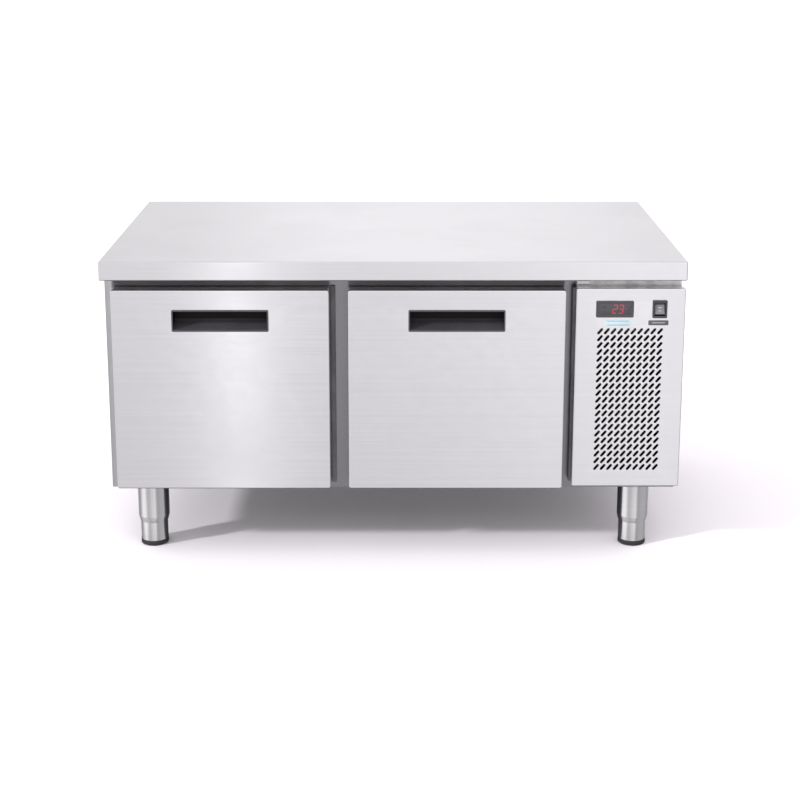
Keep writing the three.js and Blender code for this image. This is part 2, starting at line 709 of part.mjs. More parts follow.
// A fan rotor on an axis along Y.
function fanRotor(centreX, centreZ, y, hubRadius, tipRadius, blades, boreRadius) {
  const pitch = THREE.MathUtils.degToRad(32);
  const chord = Math.min(1.7 * size(y), 0.75 * tipRadius);
  const parts = [barY(hubRadius, y, centreX, centreZ, 20)];
  for (let i = 0; i < blades; i += 1) {
    const length = tipRadius - hubRadius + 3;
    const blade = new THREE.BoxGeometry(length, 1.6, chord);
    blade.rotateX(pitch);
    blade.translate(hubRadius - 3 + length / 2, 0, 0);
    blade.rotateY((i * 2 * Math.PI) / blades);
    parts.push(solid(blade.translate(centreX, middle(y), centreZ)));
  }
  const rotor = join(...parts);
  const swept = barY(tipRadius, inset(y, -20), centreX, centreZ, 40);
  const round = rotor.intersect(swept);
  return boreRadius ? cut(round, barY(boreRadius, inset(y, -1), centreX, centreZ, 12)) : round;
}

const trayZ = [machine.z[0], machine.z[0] + 1.5];
const unitX = around(middle(machine.x), CONDENSER_WIDTH);
const unitCentre = middle(unitX);
const condenserY = [machine.y[0] + 14, machine.y[0] + 14 + CONDENSER_DEPTH];
const condenserZ = [trayZ[1] + GAP, trayZ[1] + GAP + CONDENSER_HEIGHT];
const fanZ = middle(condenserZ);
const shroudY = [condenserY[1] + GAP, condenserY[1] + GAP + FRAME_SHEET];
const ductEnd = shroudY[1] + 26;
const motorY = [ductEnd + 14, ductEnd + 74];
const compressorY = machine.y[1] - COMPRESSOR_RADIUS - COMPRESSOR_SETBACK;

function condenser() {
  const fins = box(inset(unitX, 2), condenserY, inset(condenserZ, 3));
  const endPlates = [unitX[0], unitX[1] - 2.5].map((x) => box([x, x + 2.5], condenserY, condenserZ));
  return join(fins, ...endPlates);
}

function fanShroud() {
  const duct = barY(CONDENSER_FAN_RADIUS + 9, [shroudY[0], ductEnd], unitCentre, fanZ, 40);
  const hole = barY(CONDENSER_FAN_RADIUS + 7, [shroudY[0] - 1, ductEnd + 1], unitCentre, fanZ, 40);
  return cut(join(box(unitX, shroudY, condenserZ), duct), hole);
}

// The fan motor with the four arms that carry it behind the shroud.
function fanMotor() {
  const armReach = CONDENSER_FAN_RADIUS + 34;
  const armThick = 3;
  const armWide = 12;
  const parts = [
    barY(37, motorY, unitCentre, fanZ, 24),
    barY(MOTOR_SHAFT, [shroudY[1] + 6, motorY[0] + 1], unitCentre, fanZ, 12),
  ];
  for (let i = 0; i < 4; i += 1) {
    const turn = Math.PI / 4 + (i * Math.PI) / 2;
    const arm = new THREE.BoxGeometry(armReach, armThick, armWide);
    arm.translate(armReach / 2, 0, 0).rotateY(turn);
    parts.push(solid(arm.translate(unitCentre, motorY[0] + armThick, fanZ)));
    const legLength = motorY[0] + 1.5 * armThick - shroudY[1] - GAP;
    const leg = new THREE.BoxGeometry(armThick, legLength, armWide);
    leg.translate(armReach - armThick / 2, 0, 0).rotateY(turn);
    parts.push(solid(leg.translate(unitCentre, shroudY[1] + GAP + legLength / 2, fanZ)));
  }
  return join(...parts);
}

function compressor() {
  const foot = trayZ[1] + GAP;
  const low = foot + 14;
  const high = low + COMPRESSOR_HEIGHT;
  const radius = COMPRESSOR_RADIUS;
  const outline = [
    [0, low],
    [radius * 0.78, low],
    [radius * 0.95, low + 8],
    [radius, low + 22],
    [radius, high - 60],
  ];
  for (const angle of [15, 30, 45, 60, 75]) {
    const turn = THREE.MathUtils.degToRad(angle);
    outline.push([radius * Math.cos(turn), high - 60 + 60 * Math.sin(turn)]);
  }
  outline.push([0, high]);
  const parts = [
    turned(outline, unitCentre, compressorY, 28),
    box(around(unitCentre, 186), around(compressorY, 120), [low - 1, low + 2]),
  ];
  for (const dx of [-80, 80]) {
    for (const dy of [-45, 45]) {
      const grommet = [
        [0, foot],
        [11, foot],
        [11, low],
        [0, low],
      ];
      parts.push(turned(grommet, unitCentre + dx, compressorY + dy, 12));
    }
  }
  return join(...parts);
}

function baseTray() {
  const x = inset(machine.x, 5);
  const y = [machine.y[0] + 6, machine.y[1] - 6];
  const rim = 14;
  const tray = box(x, y, [trayZ[0], trayZ[0] + rim]);
  return cut(tray, box(inset(x, FRAME_SHEET), inset(y, FRAME_SHEET), [trayZ[1], trayZ[1] + rim]));
}

function electricalBox() {
  const z = [machine.z[1] - 95, machine.z[1] - 6];
  const y = [motorY[1] + 20, motorY[1] + 140];
  const x = [machine.x[0] + GAP, machine.x[0] + 150];
  return cut(box(x, y, z), box(inset(x, 2), inset(y, 2), [z[0] - 1, z[1] - 2]));
}

function makeCoolingUnit() {
  place("unit_base_tray", baseTray(), GALVANISED);
  place("condenser_coil", condenser(), ALUMINIUM);
  place("condenser_fan_shroud", fanShroud(), GALVANISED);
  place("condenser_fan_motor", fanMotor(), BLACK_PAINT);
  const bladeY = [shroudY[1] + 3, shroudY[1] + 23];
  const blades = fanRotor(unitCentre, fanZ, bladeY, 22, CONDENSER_FAN_RADIUS, 5, MOTOR_SHAFT + 0.4);
  place("condenser_fan", blades, ALUMINIUM);
  place("compressor", compressor(), BLACK_PAINT);
  place("electrical_box", electricalBox(), GALVANISED);
}

// ---- Evaporator --------------------------------------------------------------------------------

const coverX = [cell.x[0] + 151, cell.x[0] + 741];
const coverZ = [cell.z[0] + 36, cell.z[1] - 36];
const evaporatorFanX = coverX[1] - 100;
const evaporatorFanZ = middle(cell.z);
const housingY = [coverY[0] + SHEET + GAP, coverY[0] + SHEET + GAP + 38];
const coilX = [coverX[0] + 20, coverX[0] + 20 + COIL_LENGTH];

function evaporatorCover() {
  const shell = cut(
    box(coverX, coverY, coverZ),
    box(inset(coverX, SHEET), [coverY[0] + SHEET, coverY[1] + 1], inset(coverZ, SHEET)),
  );
  const through = [coverY[0] - 1, coverY[0] + 2 * SHEET];
  const tools = [
    barY(56, through, evaporatorFanX, evaporatorFanZ, 40),
    barX(14, [coverX[1] - 3 * SHEET, coverX[1] + 1], pipeHoleY, pipeHoleZ),
  ];
  const slotCount = 7;
  for (let i = 0; i < slotCount; i += 1) {
    const x = coilX[0] + ((i + 0.5) * COIL_LENGTH) / slotCount;
    tools.push(box([x - 12, x + 12], through, inset(coverZ, 40)));
  }
  return cut(shell, ...tools);
}

function evaporatorCoil() {
  const y = [housingY[0] + 2, coverY[1] - 2];
  const z = inset(coverZ, 14);
  const fins = box(inset(coilX, 2), y, inset(z, 3));
  return join(fins, ...[coilX[0], coilX[1] - 2.5].map((x) => box([x, x + 2.5], y, z)));
}

// Square fan frame with a round duct; a disc on four spokes carries the rotor from behind.
function fanHousing() {
  const x = around(evaporatorFanX, EVAPORATOR_FAN_SIZE);
  const z = around(evaporatorFanZ, EVAPORATOR_FAN_SIZE);
  const duct = barY(EVAPORATOR_FAN_SIZE / 2 - 3, inset(housingY, -1), evaporatorFanX, evaporatorFanZ, 36);
  const spokeY = [housingY[1] - 5, housingY[1]];
  const spokes = [
    box(inset(x, 2), spokeY, around(evaporatorFanZ, 6)),
    box(around(evaporatorFanX, 6), spokeY, inset(z, 2)),
  ];
  const disc = barY(23, spokeY, evaporatorFanX, evaporatorFanZ, 24);
  return join(cut(box(x, housingY, z), duct), disc, ...spokes);
}

function makeEvaporator() {
  place("evaporator_coil", evaporatorCoil(), ALUMINIUM);
  place("evaporator_cover", evaporatorCover(), STEEL);
  place("evaporator_fan_housing", fanHousing(), BLACK_PLASTIC);
  const rotorY = [housingY[0] + 4, housingY[1] - 5 - 1];
  const tip = EVAPORATOR_FAN_SIZE / 2 - 5;
  const rotor = fanRotor(evaporatorFanX, evaporatorFanZ, rotorY, 21, tip, 7, 0);
  place("evaporator_fan", rotor, BLACK_PLASTIC);
}

// ---- Refrigerant lines -------------------------------------------------------------------------

function makeLines() {
  const coilEnd = coilX[1] + GAP;
  const suctionZ = pipeHoleZ + 6;
  const liquidZ = pipeHoleZ - 7;
  const suctionEndZ = trayZ[1] + 110;
  const suction = [
    [coilEnd, pipeHoleY, suctionZ],
    [unitCentre, pipeHoleY, suctionZ],
    [unitCentre, pipeHoleY, suctionEndZ],
    [unitCentre, compressorY + COMPRESSOR_RADIUS + GAP, suctionEndZ],
  ];
  const besideX = machine.x[0] + 16;
  const liquidLow = trayZ[1] + 30;
  const liquid = [
    [coilEnd, pipeHoleY, liquidZ],
    [besideX, pipeHoleY, liquidZ],
    [besideX, pipeHoleY, liquidLow],
    [besideX, shroudY[1] + GAP + 8, liquidLow],
    [unitX[0] + 14, shroudY[1] + GAP + 8, liquidLow],
  ];
  place("suction_line", pipe(suction, SUCTION_RADIUS, 14), COPPER);
  place("liquid_line", pipe(liquid, LIQUID_RADIUS, 10), COPPER);
}

// ---- Legs --------------------------------------------------------------------------------------

const NUT_THICK = 8;
const nutZ = body.z[0] - 30; // top of the nut plate inside a leg
const cupTop = nutZ - NUT_THICK - FOOT_TRAVEL - 2;

const legBore = FOOT_RADIUS + FOOT_CLEARANCE;
const legRadius = legBore + LEG_WALL;
const flangeRadius = legRadius + LEG_FLANGE;

function legTube(x, y) {
  const seat = baseZ[0] - GAP;
  const outline = [
    [legBore, LEG_BOTTOM],
    [legBore + 0.8, LEG_BOTTOM],
    [legRadius, LEG_CONE_TOP],
    [legRadius, seat - 4],
    [flangeRadius, seat - 4],
    [flangeRadius, seat],
    [legBore, seat],
    [legBore, nutZ],
    [STUD_RADIUS + 0.5, nutZ],
    [STUD_RADIUS + 0.5, nutZ - NUT_THICK],
    [legBore, nutZ - NUT_THICK],
    [legBore, LEG_BOTTOM],
  ];
  return turned(outline, x, y);
}

function footCup(x, y) {
  const wall = 2;
  const studTop = baseZ[0] - FOOT_TRAVEL - 2;
  const outline = [
    [0, cupTop - wall],
    [FOOT_RADIUS - wall, cupTop - wall],
    [FOOT_RADIUS - wall, PAD_HEIGHT],
    [FOOT_RADIUS, PAD_HEIGHT],
    [FOOT_RADIUS, cupTop],
    [STUD_RADIUS, cupTop],
    [STUD_RADIUS, studTop],
    [0, studTop],
  ];
  return turned(outline, x, y);
}

function footPad(x, y) {
  const outline = [
    [0, 0],
    [FOOT_RADIUS - 1, 0],
    [FOOT_RADIUS + 0.5, 1.5],
    [FOOT_RADIUS + 0.5, PAD_HEIGHT - GAP],
    [FOOT_RADIUS - 2.5, PAD_HEIGHT - GAP],
    [FOOT_RADIUS - 2.5, PAD_HEIGHT + 8],
    [0, PAD_HEIGHT + 8],
  ];
  return turned(outline, x, y);
}

function makeLegs() {
  const xs = inset(body.x, LEG_INSET_X);
  const ys = inset(body.y, flangeRadius + FRAME_SHEET + GAP);
  for (const [row, y] of [["front", ys[0]], ["back", ys[1]]]) {
    for (const [side, x] of [["left", xs[0]], ["right", xs[1]]]) {
      place(`${row}_${side}_leg_tube`, legTube(x, y), BRIGHT_STEEL);
      place(`${row}_${side}_foot_cup`, footCup(x, y), BRIGHT_STEEL);
      place(`${row}_${side}_foot_pad`, footPad(x, y), BLACK_PLASTIC);
    }
  }
}

// ---- Assembly ----------------------------------------------------------------------------------

makeWorktop();
makeBody();
drawers.forEach(makeRails);
drawers.forEach(makeDrawer);
makeMachinePanel();
makeCoolingUnit();
makeEvaporator();
makeLines();
makeLegs();

export default refrigerator;
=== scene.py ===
"""Builds the looks of a low refrigerated counter with two drawers, and the studio it stands in."""

import json
import math

import bmesh
import bpy
from mathutils import Matrix, Vector

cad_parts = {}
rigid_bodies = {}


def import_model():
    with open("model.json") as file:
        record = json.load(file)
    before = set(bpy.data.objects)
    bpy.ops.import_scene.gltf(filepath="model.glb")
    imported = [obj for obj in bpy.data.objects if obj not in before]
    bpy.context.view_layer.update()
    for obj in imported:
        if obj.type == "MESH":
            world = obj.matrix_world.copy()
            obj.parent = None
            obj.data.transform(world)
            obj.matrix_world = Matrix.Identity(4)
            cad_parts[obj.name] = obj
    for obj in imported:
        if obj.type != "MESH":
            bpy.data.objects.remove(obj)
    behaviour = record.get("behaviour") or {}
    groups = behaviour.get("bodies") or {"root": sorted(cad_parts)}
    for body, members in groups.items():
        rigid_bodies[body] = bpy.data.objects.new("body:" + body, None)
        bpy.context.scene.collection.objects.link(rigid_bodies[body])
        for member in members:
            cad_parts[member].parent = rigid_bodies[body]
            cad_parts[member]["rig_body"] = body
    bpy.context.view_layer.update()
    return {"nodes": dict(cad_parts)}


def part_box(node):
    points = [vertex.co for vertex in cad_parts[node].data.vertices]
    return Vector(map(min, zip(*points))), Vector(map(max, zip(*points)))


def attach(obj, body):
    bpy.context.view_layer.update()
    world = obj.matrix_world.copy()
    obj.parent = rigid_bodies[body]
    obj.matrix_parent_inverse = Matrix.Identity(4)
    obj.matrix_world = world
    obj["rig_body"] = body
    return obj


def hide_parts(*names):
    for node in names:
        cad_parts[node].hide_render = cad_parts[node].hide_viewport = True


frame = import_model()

bl_info = {
    "name": "Refrigerated Counter",
    "version": (1, 0, 0),
    "blender": (4, 5, 0),
    "location": "View3D > Sidebar > Counter",
    "description": "Builds the visible pieces, finishes and studio of a refrigerated counter",
    "category": "Object",
}

NODES = frame["nodes"]
CABINET = "cabinet"  # the body that stands still
SIDES = ("left", "right")
FEET = ("front_left", "front_right", "back_left", "back_right")
MM = 0.001
FRAME_TAB = 0.0435  # the frame's brackets for the machine panel stand this far before its plate
FACE_MARGIN = 0.001  # narrow flat strip between a fold and the face beside it
LEAST_CORNER = 0.0004  # corner radius that folds never go below
BEZEL_HEIGHT = 0.0456  # of a handle's bezel, whose pocket reaches higher behind the skin
BEZEL_COVER = 0.0016  # how far a handle's bezel covers the skin round its hole
FILM = 0.0003  # thickness of the steel trims
TRIM_SHEET = 0.0009  # thickness of the bright trims


# ---- What a user may change ---------------------------------------------------------------------


def length(name, description, millimetres):
    """A length property with its default given in millimetres."""
    return bpy.props.FloatProperty(
        name=name, description=description, default=millimetres * MM, unit="LENGTH", subtype="DISTANCE"
    )


def colour(name, description, default):
    """A colour property in linear red, green and blue."""
    return bpy.props.FloatVectorProperty(
        name=name, description=description, default=default, size=3, min=0, max=1, subtype="COLOR"
    )


def factor(name, description, default, highest=1.0):
    """A plain number property from nought."""
    return bpy.props.FloatProperty(
        name=name, description=description, default=default, min=0, max=highest, subtype="FACTOR"
    )


def angle(name, description, degrees):
    """An angle property with its default given in degrees."""
    return bpy.props.FloatProperty(
        name=name, description=description, default=math.radians(degrees), unit="ROTATION", subtype="ANGLE"
    )


class CounterSizes(bpy.types.PropertyGroup):
    """Sizes of the details that the frame leaves plain."""

    worktop_fold: length("Worktop fold", "Outer radius of the worktop's folded edges", 2.6)
    worktop_sheet: length("Worktop sheet", "Thickness of the worktop's steel", 1.5)
    worktop_lip: length("Worktop lip", "Width of the lip folded in under the worktop", 18)
    front_fold: length("Drawer fold", "Outer radius of a drawer front's folded edges", 2.4)
    front_corner: length("Drawer corner", "Radius of a drawer front's corners, seen from the front", 5)
    front_sheet: length("Drawer sheet", "Thickness of a drawer front's steel", 1)
    panel_fold: length("Panel fold", "Outer radius of the machine panel's folded edges", 1.8)
    panel_corner: length("Panel corner", "Radius of the machine panel's corners", 3)
    panel_sheet: length("Panel sheet", "Thickness of the machine panel's steel", 1.2)
    slot_length: length("Slot length", "Length of a grille slot over its round ends", 16)
    slot_width: length("Slot width", "Width of a grille slot", 5.6)
    slot_lean: angle("Slot lean", "How far a grille slot leans up from level", 50)
    slot_pitch_x: length("Slot pitch across", "Distance between columns of slots", 13.68)
    slot_pitch_z: length("Slot pitch up", "Distance between rows of slots", 14.7)
    slot_rise: length("Lowest slots", "From the panel's lower edge to the lowest row of slots", 42.5)
    slot_columns: bpy.props.IntProperty(name="Slot columns", description="Columns of slots", default=10)
    slot_rows: bpy.props.IntProperty(name="Slot rows", description="Rows of slots", default=21)
    digit_height: length("Figure height", "Height of the figures on the controller", 17)


class CounterFinishes(bpy.types.PropertyGroup):
    """Colours and surface values of the counter's finishes."""

    steel: colour("Steel", "Colour of the outer steel", (0.83, 0.82, 0.845))
    # The frame's steel is the outer steel darkened to about a third: painted shade for the frame's recesses
    # under the worktop and between the drawers.
    frame: colour("Frame steel painted shade", "Colour of the front frame's steel, darkened as painted shade", (0.27, 0.265, 0.28))
    liner: colour("Liner steel", "Colour of the steel inside the cold cell", (0.74, 0.74, 0.75))
    leg: colour("Leg steel", "Colour of the polished legs", (0.84, 0.83, 0.85))
    zinc: colour("Zinc", "Colour of galvanised sheet", (0.55, 0.57, 0.58))
    plastic: colour("Handle plastic", "Colour of the handles", (0.052, 0.05, 0.056))
    bezel: colour("Controller plastic", "Colour of the controller's face", (0.056, 0.053, 0.06))
    rocker: colour("Rocker plastic", "Colour of the rocker", (0.155, 0.15, 0.163))
    display: colour("Figures", "Colour of the lit figures", (0.78, 0.045, 0.09))
    copper: colour("Copper", "Colour of the refrigerant lines", (0.72, 0.36, 0.22))
    foam: colour("Foam", "Colour of the insulation", (0.75, 0.66, 0.4))
    ink: colour("Pale ink", "Colour of the marks on the rocker and the dark label", (0.42, 0.41, 0.43))
    steel_roughness: factor("Steel roughness", "Roughness of the outer steel", 0.17)
    grain: factor("Grain", "How much the brushed grain shows", 0.28)


class StudioSettings(bpy.types.PropertyGroup):
    """Camera, lights and floor."""

    camera_back: length("Camera back", "From the middle of the counter back to the camera", 3532)
    camera_up: length("Camera height", "Height of the camera above the floor", 1333)
    camera_across: length("Camera across", "Camera to the right of the counter's middle", 5)
    camera_pitch: angle("Camera pitch", "How far the camera looks down", 13.22)
    camera_lens: length("Lens", "Focal length on a frame 36 mm wide", 72.2)
    shift_x: bpy.props.FloatProperty(name="Shift across", description="Lens shift across", default=0.0056)
    shift_y: bpy.props.FloatProperty(name="Shift up", description="Lens shift up", default=-0.14)
    key_power: bpy.props.FloatProperty(name="Key", description="Strength of the key light", default=2.0)
    ambient: bpy.props.FloatProperty(name="Ambient", description="Light from all round", default=1.28)
    floor: colour("Floor", "Colour of the floor", (0.935, 0.9, 0.94))


# ---- Effects that several finishes share --------------------------------------------------------


def feed(tree, socket, value):
    """Links a value to a socket, or sets the socket when the value is plain."""
    if isinstance(value, bpy.types.NodeSocket):
        tree.links.new(value, socket)
    else:
        socket.default_value = value


def add(tree, kind, settings=None, **values):
    """A node with attributes from settings and inputs by name."""
    node = tree.nodes.new(kind)
    for name, value in (settings or {}).items():
        setattr(node, name, value)
    for name, value in values.items():
        feed(tree, node.inputs[name.replace("_", " ")], value)
    return node


def math_node(tree, operation, *values, clamp=False):
    """A math node on links or numbers; returns its output."""
    node = add(tree, "ShaderNodeMath", {"operation": operation, "use_clamp": clamp})
    for socket, value in zip(node.inputs, values):
        feed(tree, socket, value)
    return node.outputs[0]


def times(tree, first, second):
    """The product of two links or numbers."""
    return math_node(tree, "MULTIPLY", first, second)


def weigh(tree, first, share, second):
    """A share of the first value and the rest of the second."""
    return math_node(tree, "ADD", times(tree, first, share), times(tree, second, 1 - share))


def ramp_node(tree, value, low, high, start=0.0, end=1.0):
    """Maps value from low..high to start..end, smoothly and with limits."""
    node = add(
        tree, "ShaderNodeMapRange", {"interpolation_type": "SMOOTHSTEP"},
        Value=value, From_Min=low, From_Max=high, To_Min=start, To_Max=end,
    )
    return node.outputs["Result"]


def object_place(tree):
    """Each point's place in its object's own frame."""
    return add(tree, "ShaderNodeTexCoord").outputs["Object"]


def noise_node(tree, vector, scale, detail=2.0, rough=0.5):
    """A noise texture on a vector; returns its value."""
    node = add(tree, "ShaderNodeTexNoise", Vector=vector, Scale=scale, Detail=detail, Roughness=rough)
    return node.outputs["Fac"]


def new_group(name, inputs, outputs):
    """A shader node group with its sockets, and its input and output nodes."""
    group = bpy.data.node_groups.new(name, "ShaderNodeTree")
    for socket, kind, default in inputs:
        made = group.interface.new_socket(name=socket, in_out="INPUT", socket_type=kind)
        made.default_value = default
    for socket in outputs:
        group.interface.new_socket(name=socket, in_out="OUTPUT", socket_type="NodeSocketFloat")
    return group, group.nodes.new("NodeGroupInput"), group.nodes.new("NodeGroupOutput")


def brushed_grain_group():
    """Long fine scratches; Stretch squeezes them across and draws them out along the grain."""
    group, source, result = new_group(
        "Brushed grain", [("Stretch", "NodeSocketVector", (6.0, 900.0, 900.0))], ["Streaks", "Height"]
    )
    stretched = add(group, "ShaderNodeVectorMath", {"operation": "MULTIPLY"})
    feed(group, stretched.inputs[0], object_place(group))
    feed(group, stretched.inputs[1], source.outputs["Stretch"])
    fine = noise_node(group, stretched.outputs[0], 1.0, 3.0, 0.6)
    wide = noise_node(group, stretched.outputs[0], 0.16, 2.0)
    feed(group, result.inputs["Streaks"], ramp_node(group, weigh(group, fine, 0.65, wide), 0.36, 0.64))
    feed(group, result.inputs["Height"], fine)
    return group


def handling_group():
    """Soft marks of wiping and handling, from nought where clean to one."""
    group, source, result = new_group("Handling marks", [("Size", "NodeSocketFloat", 1.0)], ["Marks"])
    scaled = add(group, "ShaderNodeVectorMath", {"operation": "SCALE"}, Scale=source.outputs["Size"])
    feed(group, scaled.inputs[0], object_place(group))
    clouds = ramp_node(group, noise_node(group, scaled.outputs[0], 3.2, 3.0), 0.42, 0.72)
    smears = ramp_node(group, noise_node(group, scaled.outputs[0], 19.0, 4.0, 0.6), 0.5, 0.8)
    feed(group, result.inputs["Marks"], weigh(group, clouds, 0.7, smears))
    return group


def worn_edge_group():
    """One on sharp outer edges that hands and cloths have polished, nought elsewhere."""
    group, source, result = new_group("Worn edges", [("Softness", "NodeSocketFloat", 0.06)], ["Edge"])
    bend = add(group, "ShaderNodeNewGeometry").outputs["Pointiness"]
    above = math_node(group, "SUBTRACT", bend, 0.51)
    mask = math_node(group, "DIVIDE", above, source.outputs["Softness"], clamp=True)
    patchy = ramp_node(group, noise_node(group, object_place(group), 45.0, 3.0), 0.3, 0.65, 0.35, 1.0)
    feed(group, result.inputs["Edge"], times(group, mask, patchy))
    return group


def dust_group():
    """Fine dust on surfaces that face up."""
    group, source, result = new_group("Settled dust", [("Amount", "NodeSocketFloat", 0.3)], ["Dust"])
    split = add(group, "ShaderNodeSeparateXYZ")
    feed(group, split.inputs[0], add(group, "ShaderNodeNewGeometry").outputs["Normal"])
    up = ramp_node(group, split.outputs["Z"], 0.35, 0.95)
    grains = ramp_node(group, noise_node(group, object_place(group), 120.0, 5.0, 0.7), 0.38, 0.7)
    feed(group, result.inputs["Dust"], times(group, times(group, up, grains), source.outputs["Amount"]))
    return group


def pebble_group():
    """The fine moulded texture of plastic, as a height, and a slow drift of its shade."""
    group, source, result = new_group(
        "Moulded texture", [("Scale", "NodeSocketFloat", 1500.0)], ["Height", "Drift"]
    )
    place = object_place(group)
    cells = add(group, "ShaderNodeTexVoronoi", Vector=place, Scale=source.outputs["Scale"])
    feed(group, result.inputs["Height"], cells.outputs["Distance"])
    feed(group, result.inputs["Drift"], ramp_node(group, noise_node(group, place, 14.0, 3.0), 0.35, 0.7))
    return group


EFFECTS = {
    "grain": brushed_grain_group,
    "handling": handling_group,
    "edges": worn_edge_group,
    "dust": dust_group,
    "pebble": pebble_group,
}
made_effects = {}


def effect(tree, kind, **values):
    """Places a shared effect in a material and returns its outputs."""
    if kind not in made_effects:
        made_effects[kind] = EFFECTS[kind]()
    return add(tree, "ShaderNodeGroup", {"node_tree": made_effects[kind]}, **values).outputs


# ---- Finishes -----------------------------------------------------------------------------------

GRAIN_STRETCH = {"x": (5.0, 1100.0, 1100.0), "y": (1100.0, 5.0, 1100.0), "z": (1100.0, 1100.0, 5.0)}
GRAIN_WAY = {"x": (1.0, 0.02, 0.03), "y": (0.02, 1.0, 0.03), "z": (0.02, 0.03, 1.0)}
DUST = (0.5, 0.48, 0.45)


def new_material(name, **values):
    """A material, its node tree and its Principled node with plain values set."""
    material = bpy.data.materials.new(name)
    material.use_nodes = True
    tree = material.node_tree
    shader = tree.nodes["Principled BSDF"]
    for socket, value in values.items():
        feed(tree, shader.inputs[socket.replace("_", " ")], value)
    return material, tree, shader


def dress(material, base, rough, height, strength, distance):
    """Links a finish's colour, roughness and bump, and returns the material."""
    tree = material.node_tree
    shader = tree.nodes["Principled BSDF"]
    bump = add(tree, "ShaderNodeBump", Strength=strength, Distance=distance, Height=height)
    feed(tree, shader.inputs["Base Color"], base)
    feed(tree, shader.inputs["Roughness"], rough)
    feed(tree, shader.inputs["Normal"], bump.outputs["Normal"])
    return material


def shade(rgb, level):
    """A colour made darker or lighter by level."""
    return [part * level for part in rgb]


def rgba(rgb, level=1.0):
    """The same with alpha, and with no part above one."""
    return (*[min(1.0, part) for part in shade(rgb, level)], 1.0)


def blend_colours(tree, mask, first, second):
    """Mixes two colours, each a link or a value, by a mask; returns its output."""
    node = add(tree, "ShaderNodeMix", {"data_type": "RGBA"}, Factor=mask)
    feed(tree, node.inputs[6], first)
    feed(tree, node.inputs[7], second)
    return node.outputs[2]


def random_cells(tree, scale):
    """Cells of one size with three values each that differ from cell to cell."""
    cells = add(tree, "ShaderNodeTexVoronoi", Vector=object_place(tree), Scale=scale)
    split = add(tree, "ShaderNodeSeparateColor")
    feed(tree, split.inputs[0], cells.outputs["Color"])
    return split.outputs


def steel(name, tint, roughness, grain="x", anisotropy=0.85, grain_strength=0.5, dust=0.0, smears=0.06):
    """Brushed stainless sheet with its grain along one axis."""
    material, tree, shader = new_material(
        name, Metallic=1.0, Anisotropic=anisotropy, Anisotropic_Rotation=0.25
    )
    along = dict(zip("XYZ", GRAIN_WAY[grain]))
    feed(tree, shader.inputs["Tangent"], add(tree, "ShaderNodeCombineXYZ", **along).outputs[0])
    scratches = effect(tree, "grain", Stretch=GRAIN_STRETCH[grain])
    marks = effect(tree, "handling", Size=1.0)["Marks"]
    edge = effect(tree, "edges", Softness=0.08)["Edge"]
    streaks = scratches["Streaks"]
    spread = 0.1 * grain_strength
    base = blend_colours(tree, streaks, rgba(tint, 1 - spread), rgba(tint, 1 + spread / 2))
    base = blend_colours(tree, times(tree, marks, 0.12), base, rgba(tint, 0.86))
    base = blend_colours(tree, times(tree, edge, 0.5), base, rgba(tint, 1.12))
    rough = math_node(tree, "MULTIPLY_ADD", marks, smears, roughness - 0.02)
    rough = math_node(tree, "ADD", rough, times(tree, streaks, smears * 0.8))
    if dust:
        settled = effect(tree, "dust", Amount=dust)["Dust"]
        base = blend_colours(tree, settled, base, rgba(DUST))
        rough = math_node(tree, "ADD", rough, times(tree, settled, 0.4))
    return dress(material, base, rough, scratches["Height"], 0.05 * grain_strength, 0.00006)


def polished_steel(name, tint, roughness):
    """Turned and polished round steel with faint rings round it."""
    material, tree, _ = new_material(name, Metallic=1.0)
    rings = effect(tree, "grain", Stretch=(40.0, 40.0, 2600.0))
    marks = effect(tree, "handling", Size=3.0)["Marks"]
    base = blend_colours(tree, rings["Streaks"], rgba(tint, 0.96), rgba(tint, 1.02))
    base = blend_colours(tree, times(tree, marks, 0.15), base, rgba(tint, 0.8))
    rough = math_node(tree, "MULTIPLY_ADD", rings["Streaks"], 0.05, roughness)
    return dress(material, base, rough, rings["Height"], 0.04, 0.00005)


def galvanised(name, tint):
    """Zinc-coated sheet with its spangle of crystals."""
    material, tree, _ = new_material(name, Metallic=1.0)
    crystals = random_cells(tree, 230.0)
    base = blend_colours(tree, crystals["Red"], rgba(tint, 0.92), rgba(tint, 1.08))
    base = blend_colours(tree, effect(tree, "dust", Amount=0.5)["Dust"], base, rgba(DUST, 0.9))
    rough = ramp_node(tree, crystals["Green"], 0.0, 1.0, 0.34, 0.52)
    return dress(material, base, rough, crystals["Blue"], 0.08, 0.0001)


def plastic(name, tint, roughness, texture=0.3, scale=1500.0, coat=0.0, dust=0.16, specular=0.5):
    """Moulded plastic with a fine texture and edges rubbed smooth."""
    material, tree, _ = new_material(
        name, Coat_Weight=coat, Coat_Roughness=0.12, Specular_IOR_Level=specular
    )
    moulded = effect(tree, "pebble", Scale=scale)
    edge = effect(tree, "edges", Softness=0.1)["Edge"]
    base = blend_colours(tree, moulded["Drift"], rgba(tint, 0.9), rgba(tint, 1.1))
    base = blend_colours(tree, times(tree, edge, 0.45), base, rgba(tint, 1.9))
    base = blend_colours(tree, effect(tree, "dust", Amount=dust)["Dust"], base, rgba(DUST, 0.8))
    rough = math_node(tree, "MULTIPLY_ADD", moulded["Drift"], 0.08, roughness)
    rough = math_node(tree, "SUBTRACT", rough, times(tree, edge, 0.12))
    return dress(material, base, rough, moulded["Height"], texture, 0.00005)


